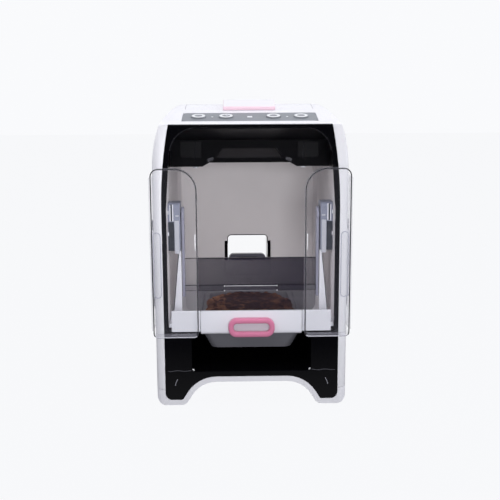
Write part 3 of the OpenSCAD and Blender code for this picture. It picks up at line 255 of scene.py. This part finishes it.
# Two tones for one clear edge: the dark one is painted shade and the light one a painted highlight
RIM_SHADE = clear_plastic("shield_rim_painted_shade", (0.035, 0.035, 0.043), 0.15, 0.86, 0.95)
RIM_HIGHLIGHT = clear_plastic("shield_rim_painted_highlight", (0.62, 0.62, 0.68), 0.12, 0.85, 0.95)
# Pale line painted along the visor grip's top edge, a painted highlight
GRIP_HIGHLIGHT = moulded("painted_highlight_pale", (0.62, 0.61, 0.65), 0.2, 0.05, 900, 0.01)
# Dark line colour: lighter than the fascia as a painted reflection in the mouth's corners, darker than the
# visor as painted shade along its ledge, and the visor's top line and the pods' ribs
LINE_BLACK = moulded("line_black", (0.016, 0.016, 0.020), 0.22, 0.1, 900, 0.02)
# Faint grey painted highlight on the leg creases and the pods' chamfer facets
FAINT_HIGHLIGHT = moulded("painted_highlight_faint", (0.055, 0.055, 0.065), 0.22, 0.1, 900, 0.02)
POD_LIT = moulded("pod_black_painted_light", (0.011, 0.011, 0.013), 0.3, 0.2, 240, 0.05)
RECESS_LIT = moulded("recess_black_painted_light", (0.017, 0.015, 0.018), 0.35, 0.15, 300, 0.05)
HUMP_GREY = moulded("sill_grey", (0.10, 0.10, 0.13), 0.35, 0.05, 700, 0.02)
PELLET = each_its_own(moulded("kibble_pellet", (0.42, 0.205, 0.112), 0.8, 0.55, 160, 0.6), 0.22, 1.75)
# Grey painted highlight along the visor grip's foot and the leg sweeps
DIM_HIGHLIGHT = moulded("painted_highlight_dim", (0.22, 0.22, 0.25), 0.22, 0.05, 900, 0.01)
SEAM_LILAC = moulded("seam_lilac", (0.42, 0.43, 0.52), 0.3, 0.03, 900, 0.01)
# Dark plates standing for the shade in slots and gaps: painted shade
SLOT_SHADE = moulded("slot_painted_shade", (0.03, 0.034, 0.045), 0.3, 0.1, 700, 0.03)

SLOT_MATERIALS = {
    "shell_white": WHITE, "base_white": BASE_WHITE, "fascia_black": BLACK_GLOSS,
    "ceiling_black": BLACK_SATIN, "frame_black": BLACK_GLOSS, "liner_grey": LINER_GREY,
    "tray_white": TRAY_AND_GLINT_WHITE, "bowl_plastic": BOWL_WHITE, "accent_pink": PINK, "visor_smoke": SMOKE,
    "shield_clear": CLEAR, "arm_grey": ARM_GREY, "bracket_grey": BRACKET_GREY, "steel": STEEL,
    "gear_plastic": ACETAL, "impeller_pink": SILICONE, "motor_steel": ZINC, "hopper_clear": FROSTED,
    "rubber_dark": RUBBER, "rail_dark": RAIL_DARK, "bar_grey": BAR_GREY, "button_grey": BUTTON_GREY,
    "indicator_white": MARK_AND_GLINT_WHITE, "board_green": BOARD_GREEN, "cell_jacket": CELL,
    "coil_copper": COPPER, "sensor_lens": LENS, "kibble_brown": KIBBLE,
}


# ---------------------------------------------------------------- dressing the CAD nodes

def set_material(obj, mat):
    """Gives every face of obj one material."""
    obj.data.materials.clear()
    obj.data.materials.append(mat)


def smooth(obj):
    """Shades every face of obj smooth."""
    for face in obj.data.polygons:
        face.use_smooth = True


def soften(obj, width, segments=3):
    """Rounds the sharp edges of a piece by width."""
    weld = obj.modifiers.new("weld", "WELD")
    weld.merge_threshold = 0.00002
    bevel = obj.modifiers.new("bevel", "BEVEL")
    bevel.width = width
    bevel.segments = segments
    bevel.limit_method = "ANGLE"
    bevel.angle_limit = math.radians(28)
    bevel.use_clamp_overlap = True
    bevel.harden_normals = True


OWN_MATERIALS = {"lid_latch": LATCH_PINK, "bowl_drawer": TUB_SHADED, "window_frame": WINDOW_BLACK}

# Width of the rounded edge on each node that gets one, mm
EDGE = {"outer_shell": 1.2, "base_cover": 1.2, "front_fascia": 2.2, "hopper_lid": 0.7, "lid_latch": 1.2,
        "bowl_drawer": 1.0, "tray_deck": 0.9, "ceiling_unit": 1.2, "cavity_liner": 0.6, "kibble": 3.0,
        "window_frame": 0.6, "visor": 0.5, "side_shield_left": 0.7, "side_shield_right": 0.7,
        "shield_mount_left": 1.2, "shield_mount_right": 1.2, "drawer_ring": 2.8, "food_bowl": 0.5,
        "pivot_bracket_left": 1.2, "pivot_bracket_right": 1.2, "visor_arm_left": 0.8,
        "visor_arm_right": 0.8, "control_panel": 0.4, "rear_cover": 0.6, "battery_door": 0.6}

slot_of = {s["node"]: s["material_slot"] for s in frame["record"]["subparts"]}
for node, obj in frame["nodes"].items():
    set_material(obj, OWN_MATERIALS.get(node) or SLOT_MATERIALS[slot_of[node]])
    if node.startswith("side_shield") or node == "visor":
        obj.visible_shadow = False
    if node in EDGE:
        soften(obj, EDGE[node] * MM)
    if node == "outer_shell":
        smooth(obj)


# ---------------------------------------------------------------- pieces in mesh code

def mesh_piece(name, build, mat, body):
    """A piece whose mesh is made by build(bm), in metres."""
    mesh = bpy.data.meshes.new(name)
    bm = bmesh.new()
    build(bm)
    bmesh.ops.recalc_face_normals(bm, faces=bm.faces)
    bm.to_mesh(mesh)
    bm.free()
    obj = bpy.data.objects.new(name, mesh)
    bpy.context.scene.collection.objects.link(obj)
    mesh.materials.append(mat)
    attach(obj, body)
    return obj


def skin(bm, one, two):
    """Faces between two closed loops that have as many vertices."""
    for k in range(len(one)):
        n = (k + 1) % len(one)
        bm.faces.new((one[k], one[n], two[n], two[k]))


def prism(bm, outline, y0, y1):
    """Solid between the planes y0 and y1 with an outline of (x, z) points, all in mm."""
    near = [bm.verts.new((x * MM, y0 * MM, z * MM)) for x, z in outline]
    far = [bm.verts.new((x * MM, y1 * MM, z * MM)) for x, z in outline]
    bm.faces.new(near)
    bm.faces.new(far[::-1])
    skin(bm, near, far)


def plate(name, outline, y0, y1, mat, body, edge=0.3):
    """Bevelled plate with an outline of (x, z) points in mm."""
    soften(mesh_piece(name, lambda bm: prism(bm, outline, y0, y1), mat, body), edge * MM, 2)


def tube(bm, path, radius, closed=False, sides=10):
    """Round bar of one radius along a path of points in mm."""
    points = [Vector(p) * MM for p in path]
    count = len(points)
    angles = [2 * math.pi * s / sides for s in range(sides)]
    rings = []
    across = None
    for k, point in enumerate(points):
        before = points[k - 1] if closed or k else point
        after = points[(k + 1) % count] if closed or k < count - 1 else point
        along = (after - before).normalized()
        if across is None:
            across = along.orthogonal().normalized()
        across = (across - along * across.dot(along)).normalized()
        other = along.cross(across)
        rings.append([bm.verts.new(point + (across * math.cos(a) + other * math.sin(a)) * radius * MM)
                      for a in angles])
    for k in range(count if closed else count - 1):
        skin(bm, rings[k], rings[(k + 1) % count])
    if not closed:
        bm.faces.new(rings[0][::-1])
        bm.faces.new(rings[-1])


def bar(name, path, radius, mat, body, closed=False):
    """Smooth round bar piece along a path in mm."""
    smooth(mesh_piece(name, lambda bm: tube(bm, path, radius, closed), mat, body))


def arc(cx, cz, r, a0, a1, n):
    """Points (x, z) of an arc, angles in degrees."""
    return [(cx + r * math.cos(math.radians(a0 + (a1 - a0) * k / n)),
             cz + r * math.sin(math.radians(a0 + (a1 - a0) * k / n))) for k in range(n + 1)]


def corners(node):
    """A node's lowest and highest corners in mm."""
    low_corner, high_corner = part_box(node)
    return [c / MM for c in low_corner], [c / MM for c in high_corner]


def inner_x(low, high):
    """Distance from the middle plane to the near side of a box that lies on one side of it."""
    return min(abs(low[0]), abs(high[0]))


def sided(side):
    """Name ending of a side, -1 for left and 1 for right."""
    return "left" if side < 0 else "right"


def on_side(outline, side):
    """Points (x, z) of an outline, drawn for the right, on the given side."""
    return [(side * x, z) for x, z in outline]


def at_depth(outline, y):
    """Points (x, z) as a path of (x, y, z) at one depth."""
    return [(x, y, z) for x, z in outline]


def shield_rims():
    """Polished edge round each shield's front panel, dark at the sides and top as painted shade and bright
    along the foot as a painted highlight, and a short white bar inside its inner edge, a painted glint."""
    radius = 0.75
    foot_r, inner_r, outer_r = 6, 28, 10    # corner radii of the panel
    outer = corners("outer_shell")[1][0] + 0.4
    for side in (-1, 1):
        low, high = corners("side_shield_" + sided(side))
        inner = inner_x(low, high)
        base, top = low[2], high[2]
        rise = (arc(inner + foot_r, base + foot_r, foot_r - radius, 225, 180, 4)
                + arc(inner + inner_r, top - inner_r, inner_r - radius, 180, 90, 14)
                + arc(outer - outer_r, top - outer_r, outer_r - radius, 90, 0, 8)
                + arc(outer - foot_r, base + foot_r, foot_r - radius, 0, -45, 4))
        foot = (arc(outer - foot_r, base + foot_r, foot_r - radius, -45, -90, 4)
                + arc(inner + foot_r, base + foot_r, foot_r - radius, -90, -135, 4))
        glint = [(inner + 3, top - drop) for drop in (82, 90, 96, 103)]
        for ending, line, thick, mat in (("", rise, radius, RIM_SHADE), ("_foot", foot, radius, RIM_HIGHLIGHT),
                                         ("_glint", glint, 0.55, MARK_AND_GLINT_WHITE)):
            path = at_depth(on_side(line, side), low[1] + radius)
            bar("shield_rim_" + sided(side) + ending, path, thick, mat, "shield_" + sided(side))


def kibble_pellets(count=560):
    """Loose pellets of three or four lobes over the heap in the bowl, out to the bowl's rim."""
    heap_low, heap_high = corners("kibble")
    bowl_high = corners("food_bowl")[1]
    rim = bowl_high[0] - 1.5
    shelf = bowl_high[2] - 0.5
    ceiling = heap_high[2] + 1.2
    around = 6.28                           # a full turn, in radians
    lobe = 0.13                             # how far a lobe stands out, as a share of the pellet's size

    def build(bm):
        for _ in range(count):
            u = rng.uniform(-1, 1)
            v = rng.uniform(-1, 1)
            size = rng.uniform(4.0, 6.2)
            flat = rng.uniform(0.55, 0.85)
            x = u * (rim - size)
            reach = 1 - 0.35 * abs(u) ** 3
            y = heap_low[1] + 2 + (v + 1) / 2 * (heap_high[1] - heap_low[1] - 6) * reach
            lift = rng.uniform(-3.2, 2.0)
            z = min(heap_high[2] - 0.5 + lift - 3.5 * abs(u) ** 2.5, ceiling - size * 0.9)
            if abs(x) > rim - 9:
                z = max(z, shelf)
            spin = Matrix.Rotation(rng.uniform(0, around), 3, "Z")
            turn = spin @ Matrix.Rotation(rng.uniform(-0.7, 0.7), 3, "X")
            lobes = rng.choice((3, 4))
            phase = rng.uniform(0, around)
            for vert in bmesh.ops.create_icosphere(bm, subdivisions=2, radius=1.0)["verts"]:
                p = vert.co
                bulge = 1 + lobe * math.cos(lobes * math.atan2(p.y, p.x) + phase)
                shaped = Vector((p.x * bulge, p.y * bulge, p.z * flat)) * size
                vert.co = (Vector((x, y, z)) + turn @ shaped) * MM

    smooth(mesh_piece("kibble_pellets", build, PELLET, "drawer"))


def button_top(low, high):
    """Middle of a button's tilted top, from the button's box."""
    top_r = (high[0] - low[0]) / 2 - BUTTON_FLANGE
    return Vector(((low[0] + high[0]) / 2, low[1] + top_r * math.cos(BUTTON_SLOPE) + 0.3,
                   high[2] - top_r * math.sin(BUTTON_SLOPE)))


def button_marks():
    """White ring on each button, with a clock's hands on the second."""
    lean = Matrix.Rotation(BUTTON_SLOPE, 3, "X")
    outer, inner, rise = 8.7, 5.0, 0.3
    section = ((outer, 0.0), (outer - 0.2, rise), (inner + 0.2, rise), (inner, 0.0))
    steps = 56
    turns = [(math.cos(2 * math.pi * s / steps), math.sin(2 * math.pi * s / steps)) for s in range(steps)]
    for k in range(1, 5):
        node = "button_%d" % k
        centre = button_top(*corners(node))

        def ring(bm):
            loops = [[bm.verts.new((centre + lean @ Vector((radius * x, radius * y, height))) * MM)
                      for x, y in turns] for radius, height in section]
            for one, two in zip(loops, loops[1:] + loops[:1]):
                skin(bm, one, two)

        smooth(mesh_piece("button_ring_%d" % k, ring, MARK_AND_GLINT_WHITE, node))
    centre = button_top(*corners("button_2"))
    hands = [centre + lean @ Vector(p) for p in ((0, 3.6, 0.12), (0, 0, 0.12), (3.0, 0, 0.12))]
    bar("button_hands", hands, 0.45, MARK_AND_GLINT_WHITE, "button_2")


def bracket_details():
    """Front of each pivot bracket (slot and groove as dark plates of painted shade, cheek, lines, step, and
    two small white blocks that are painted glints), and a dark line down the slanted upright below it,
    painted shade in the gap at its edge."""
    for side in (-1, 1):
        low, high = corners("pivot_bracket_" + sided(side))
        front, base, top = low[1], low[2], high[2]
        inner = inner_x(low, high)

        def block(name, x0, x1, z0, z1, depth, mat):
            """A plate from x0 to x1, counted from the bracket's inner side, and from z0 to z1."""
            outline = [(inner + x0, z0), (inner + x1, z0), (inner + x1, z1), (inner + x0, z1)]
            plate(name + "_" + sided(side), on_side(outline, side), front - depth, front + 0.5, mat, "root")

        block("bracket_slot", 8.0, 15.4, base + 1, base + 39, 0.5, SLOT_SHADE)
        block("bracket_cheek", 1.4, 7.3, base - 2.5, base + 41, 1.4, ARM_LIGHT)
        block("bracket_groove", 10.2, 12.0, base + 40, top - 2, 0.4, SLOT_SHADE)
        line = [(inner + 3.4 + 9.3 * k / 3, base - 5 - 31 * k) for k in range(4)]
        bar("upright_edge_" + sided(side), at_depth(on_side(line, side), front + 10), 0.55, SLOT_SHADE,
            "root")
        block("bracket_line", 12.2, 13.4, base + 40, top - 3, 0.9, TRAY_AND_GLINT_WHITE)
        block("bracket_edge", 8.6, 10.0, base + 40, top - 2, 0.9, TRAY_AND_GLINT_WHITE)
        block("bracket_step", 1.5, 6.0, base + 46, base + 48, 0.7, ARM_LIGHT)
        # Two small white blocks on each bracket: painted glints
        for up in (49, 21):
            block("bracket_glint_%d" % up, 14.6, 15.8, base + up, base + up + 5, 1.1, TRAY_AND_GLINT_WHITE)


def ceiling_details():
    """Face, rib and chamfer facet on each of the ceiling's pods, and a lighter panel in the recess; the
    faces and the panel are a lighter black, painted light, and the facet's grey is a painted glint.
    """
    base = corners("ceiling_unit")[0][2]
    pod_front = corners("proximity_sensors")[0][1] - 2.6
    recess_front = pod_front + 20
    panel = [(-44.5, base + 10.5), (44.5, base + 10.5), (36.5, base + 23.6), (-36.5, base + 23.6)]
    plate("recess_panel", panel, recess_front - 0.8, recess_front + 0.3, RECESS_LIT, "root")
    face = [(64, base + 12), (90, base + 12), (92, base + 15), (92, base + 33), (64, base + 33)]
    rib = [(71, base + 9), (72.6, base + 9), (72.6, base + 33), (71, base + 33)]
    facet = [(55.5, base + 5.5), (47.3, base + 9.6), (48.8, base + 13), (56.5, base + 10.5)]
    for side in (-1, 1):
        for name, outline, y0, y1, mat, edge in (("pod_face_", face, -0.7, 0.3, POD_LIT, 0.5),
                                                 ("pod_rib_", rib, -1.3, -0.5, LINE_BLACK, 0.3),
                                                 ("pod_glint_facet_", facet, -0.5, 0.3, FAINT_HIGHLIGHT, 0.3)):
            plate(name + sided(side), on_side(outline, side), pod_front + y0, pod_front + y1, mat, "root",
                  edge)


def fascia_details():
    """Fine lines of the front: a faint lighter arc in each of the mouth's upper corners, a painted
    reflection; a seam round each shield's hinge; and on each leg a crease drawn grey as a painted highlight,
    a white glint and a grey sweep, both painted highlights."""
    low, high = corners("front_fascia")
    mouth_top, mouth_hw, mouth_r = high[2] - 3.75, 102.5, 34
    seam_x, seam_foot, seam_top, seam_r = 120.0, 151, 227, 4.5
    sheen_arc = arc(mouth_hw - mouth_r, mouth_top - mouth_r, mouth_r - 0.4, 8, 84, 14)
    seam = arc(seam_x, seam_top, seam_r, 0, 180, 8) + arc(seam_x, seam_foot, seam_r, 180, 360, 8)
    crease = [(78.5 + 2.6 * k, 48.3 + 0.5 * math.cos(k * 0.9)) for k in range(13)]
    glint = [(75.2, 49.0), (76.4, 50.2), (77.2, 50.6)]
    sweep = [(97 + 3.2 * math.sin(k / 8 * 1.5), 37 - 1.1 * k) for k in range(9)]
    for side in (-1, 1):
        for name, line, dy, r, mat, slot in (("mouth_sheen_", sheen_arc, 1.1, 0.75, LINE_BLACK, "fascia_black"),
                                             ("hinge_seam_", seam, -0.1, 0.45, SEAM_LILAC, "shell_white"),
                                             ("leg_crease_", crease, 0.05, 0.55, FAINT_HIGHLIGHT, "fascia_black"),
                                             ("leg_glint_", glint, -0.2, 0.8, MARK_AND_GLINT_WHITE, "fascia_black"),
                                             ("leg_sweep_", sweep, 0.1, 0.6, DIM_HIGHLIGHT, "fascia_black")):
            bar(name + sided(side), at_depth(on_side(line, side), low[1] + dy), r, mat, "root",
                closed=line is seam)


def window_sill():
    """Grey sill at the window's foot, its dark slot as a flat plate of painted shade, the blank wall under
    it and the edge round its top.
    """
    low, high = corners("window_frame")
    front = low[1]
    hump_x, hump_z, hump_r, sill_hw = 22.5, 154.5, 6, 29.5
    slot_foot, slot_top = 152.8, 156.6
    edge_foot, edge_z, edge_r = 178.0, 185.4, 6
    half = high[0] - 4.5
    sill = ([(sill_hw, WINDOW_FOOT)] + arc(hump_x, hump_z, hump_r, 0, 90, 6)
            + arc(-hump_x, hump_z, hump_r, 90, 180, 6) + [(-sill_hw, WINDOW_FOOT)])
    plate("window_sill", sill, front - 1.0, front + 1.5, HUMP_GREY, "root", 0.8)
    slot_outline = [(-18, slot_foot), (18, slot_foot), (15, slot_top), (-15, slot_top)]
    plate("window_slot", slot_outline, front - 1.5, front - 0.6, SLOT_SHADE, "root", 0.3)
    blank = [(-high[0], low[2]), (high[0], low[2]), (high[0], WINDOW_FOOT), (-high[0], WINDOW_FOOT)]
    plate("window_blank", blank, front - 0.5, front + 0.2, LINER_GREY, "root", 0.2)
    edge = ([(half, edge_foot)] + arc(half - edge_r, edge_z, edge_r, 0, 90, 8)
            + arc(-half + edge_r, edge_z, edge_r, 90, 180, 8) + [(-half, edge_foot)])
    bar("window_edge", at_depth(edge, front - 0.3), 0.6, BLACK_SATIN, "root")


def visor_edges():
    """Bright edges and tips of the visor's finger grip, painted highlights and glints, and fine dark lines
    along its ledge, painted shade, and along its top.
    """
    low, high = corners("visor")
    face = low[1]
    ledge = face + 4
    grip_foot, grip_top = 149.2, 155.4
    # The grip lines are painted highlights; the ledge lines are painted shade
    for name, half, y, z, r, mat in (("visor_grip_highlight", 34.4, face - 0.1, grip_top, 0.42, GRIP_HIGHLIGHT),
                                     ("visor_grip_foot_highlight", 33.6, face - 0.1, grip_foot, 0.32, DIM_HIGHLIGHT),
                                     ("visor_ledge_shade", 86.4, ledge - 0.1, 155.8, 0.40, LINE_BLACK),
                                     ("visor_ledge_foot_shade", 86.4, ledge - 0.1, 148.6, 0.22, LINE_BLACK),
                                     ("visor_top_edge", 86.6, face + 7.8, high[2] - 0.7, 0.5, LINE_BLACK)):
        bar(name, [(x, y, z) for x in (-half, -half / 3, half / 3, half)], r, mat, "visor")
    for side in (-1, 1):
        for z, name in ((grip_top, "top"), (grip_foot, "foot")):
            tip = on_side([(34.6, z - 0.5), (34.9, z), (34.6, z + 0.5)], side)
            bar("visor_tip_glint_%s_%s" % (name, sided(side)), at_depth(tip, face - 0.1), 0.7, MARK_AND_GLINT_WHITE, "visor")


shield_rims()
kibble_pellets()
button_marks()
bracket_details()
ceiling_details()
fascia_details()
window_sill()
visor_edges()


# ---------------------------------------------------------------- studio

BACKDROP = (0.950, 0.957, 0.975, 1)
FLOOR_GLOW = 0.975          # how far the floor shows the backdrop's colour; the rest keeps the shadow


def area_light(name, place, target, size, power, colour=(1, 1, 1)):
    """A square softbox at place that faces target."""
    data = bpy.data.lights.new(name, "AREA")
    data.energy = power
    data.size = size
    data.color = colour
    lamp = bpy.data.objects.new(name, data)
    bpy.context.scene.collection.objects.link(lamp)
    lamp.location = place
    lamp.rotation_euler = (Vector(target) - Vector(place)).to_track_quat("-Z", "Y").to_euler()
    lamp.visible_glossy = False
    lamp.visible_camera = False
    lamp.visible_transmission = False


def seen_through(tree):
    """1 where the camera sees a surface directly or through clear plastic, and 1 where gloss mirrors it."""
    ray = tree.nodes.new("ShaderNodeLightPath")
    either = tree.nodes.new("ShaderNodeMath")
    either.operation = "MAXIMUM"
    tree.links.new(ray.outputs["Is Camera Ray"], either.inputs[0])
    tree.links.new(ray.outputs["Is Transmission Ray"], either.inputs[1])
    return either.outputs[0], ray.outputs["Is Glossy Ray"]


def mixed(tree, share, one, two):
    """Two shaders mixed by share."""
    node = tree.nodes.new("ShaderNodeMixShader")
    tree.links.new(share, node.inputs["Fac"])
    tree.links.new(one, node.inputs[1])
    tree.links.new(two, node.inputs[2])
    return node.outputs[0]


def studio_floor():
    """Pale floor that keeps a faint shadow of the object, and whose reflections darken towards the front."""
    mat, tree, shader = new_material("studio_floor")
    shader.inputs["Base Color"].default_value = (0.32, 0.325, 0.335, 1)
    shader.inputs["Roughness"].default_value = 0.9
    shader.inputs["Specular IOR Level"].default_value = 0.0
    glow = tree.nodes.new("ShaderNodeEmission")
    glow.inputs["Color"].default_value = BACKDROP
    seen, glossy = seen_through(tree)
    share = graded(tree, seen, (0, 1), (0, FLOOR_GLOW))
    mirrored = tree.nodes.new("ShaderNodeEmission")
    mirrored.inputs["Color"].default_value = BACKDROP
    place = split(tree, tree.nodes.new("ShaderNodeNewGeometry").outputs["Position"])
    tree.links.new(graded(tree, place["Y"], (-0.42, 0.8), (0.008, 0.85)), mirrored.inputs["Strength"])
    direct = mixed(tree, share, shader.outputs[0], glow.outputs[0])
    surface = mixed(tree, glossy, direct, mirrored.outputs[0])
    tree.links.new(surface, tree.nodes["Material Output"].inputs["Surface"])
    mesh = bpy.data.meshes.new("floor")
    reach = 12
    mesh.from_pydata([(-reach, -reach, 0), (reach, -reach, 0), (reach, reach, 0), (-reach, reach, 0)], [],
                     [(0, 1, 2, 3)])
    floor = bpy.data.objects.new("floor", mesh)
    bpy.context.scene.collection.objects.link(floor)
    floor.data.materials.append(mat)


def surroundings():
    """World whose light and reflections darken towards the front, and its light also towards the left."""
    world = bpy.data.worlds.new("studio")
    world.use_nodes = True
    bpy.context.scene.world = world
    tree = world.node_tree
    axes = split(tree, tree.nodes.new("ShaderNodeTexCoord").outputs["Generated"])
    seen, glossy = seen_through(tree)
    soft = times(tree, graded(tree, axes["Y"], (-0.75, 0.1), (0.10, 0.60)),
                 graded(tree, axes["X"], (-0.8, 0.1), (0.55, 1.0)))
    mirrored = graded(tree, axes["Y"], (-0.55, 0.15), (0.0, 0.9))
    pick = tree.nodes.new("ShaderNodeMix")
    tree.links.new(glossy, pick.inputs["Factor"])
    tree.links.new(soft, pick.inputs[NUMBER_A])
    tree.links.new(mirrored, pick.inputs[NUMBER_B])
    light = tree.nodes["Background"]
    light.inputs["Color"].default_value = (0.93, 0.94, 1.0, 1)
    tree.links.new(pick.outputs[NUMBER_OUT], light.inputs["Strength"])
    white = tree.nodes.new("ShaderNodeBackground")
    white.inputs["Color"].default_value = BACKDROP
    surface = mixed(tree, seen, light.outputs[0], white.outputs[0])
    tree.links.new(surface, tree.nodes["World Output"].inputs["Surface"])


def studio():
    """Floor, surroundings and softboxes, with places in metres and powers in watts."""
    studio_floor()
    surroundings()
    area_light("key", (-0.55, -1.4, 1.5), (0, 0, 0.2), 1.0, 9.4, (1, 0.99, 0.985))
    area_light("side", (1.6, -0.3, 0.9), (0, 0, 0.2), 1.0, 13, (0.97, 0.97, 1.0))
    area_light("fill", (-1.6, -0.5, 1.0), (0, 0, 0.3), 0.9, 6, (0.93, 0.93, 1.0))
    area_light("top", (0, 0.1, 1.7), (0, 0, 0.2), 1.2, 9.2)
    area_light("front", (0.15, -1.7, 0.32), (-0.02, 0.1, 0.25), 0.5, 9.5)
    area_light("inside", (-0.01, -0.20, 0.26), (-0.03, 0.1, 0.22), 0.16, 0.11)


def camera():
    """Camera in front, near the height of the feeder's top and a little left of its middle, looking down."""
    data = bpy.data.cameras.new("camera")
    data.sensor_width = 36
    data.lens = 57.2
    data.clip_start = 0.01
    cam = bpy.data.objects.new("camera", data)
    bpy.context.scene.collection.objects.link(cam)
    cam.location = (-0.023, -1.14, 0.385)
    pitch, yaw, roll = math.radians(10), math.radians(1.24), math.radians(-0.28)
    look = (Matrix.Rotation(-yaw, 4, "Z") @ Matrix.Rotation(math.pi / 2 - pitch, 4, "X")
            @ Matrix.Rotation(roll, 4, "Z"))
    cam.rotation_euler = look.to_euler()
    bpy.context.scene.camera = cam


studio()
camera()
bpy.context.scene.view_settings.view_transform = "Standard"
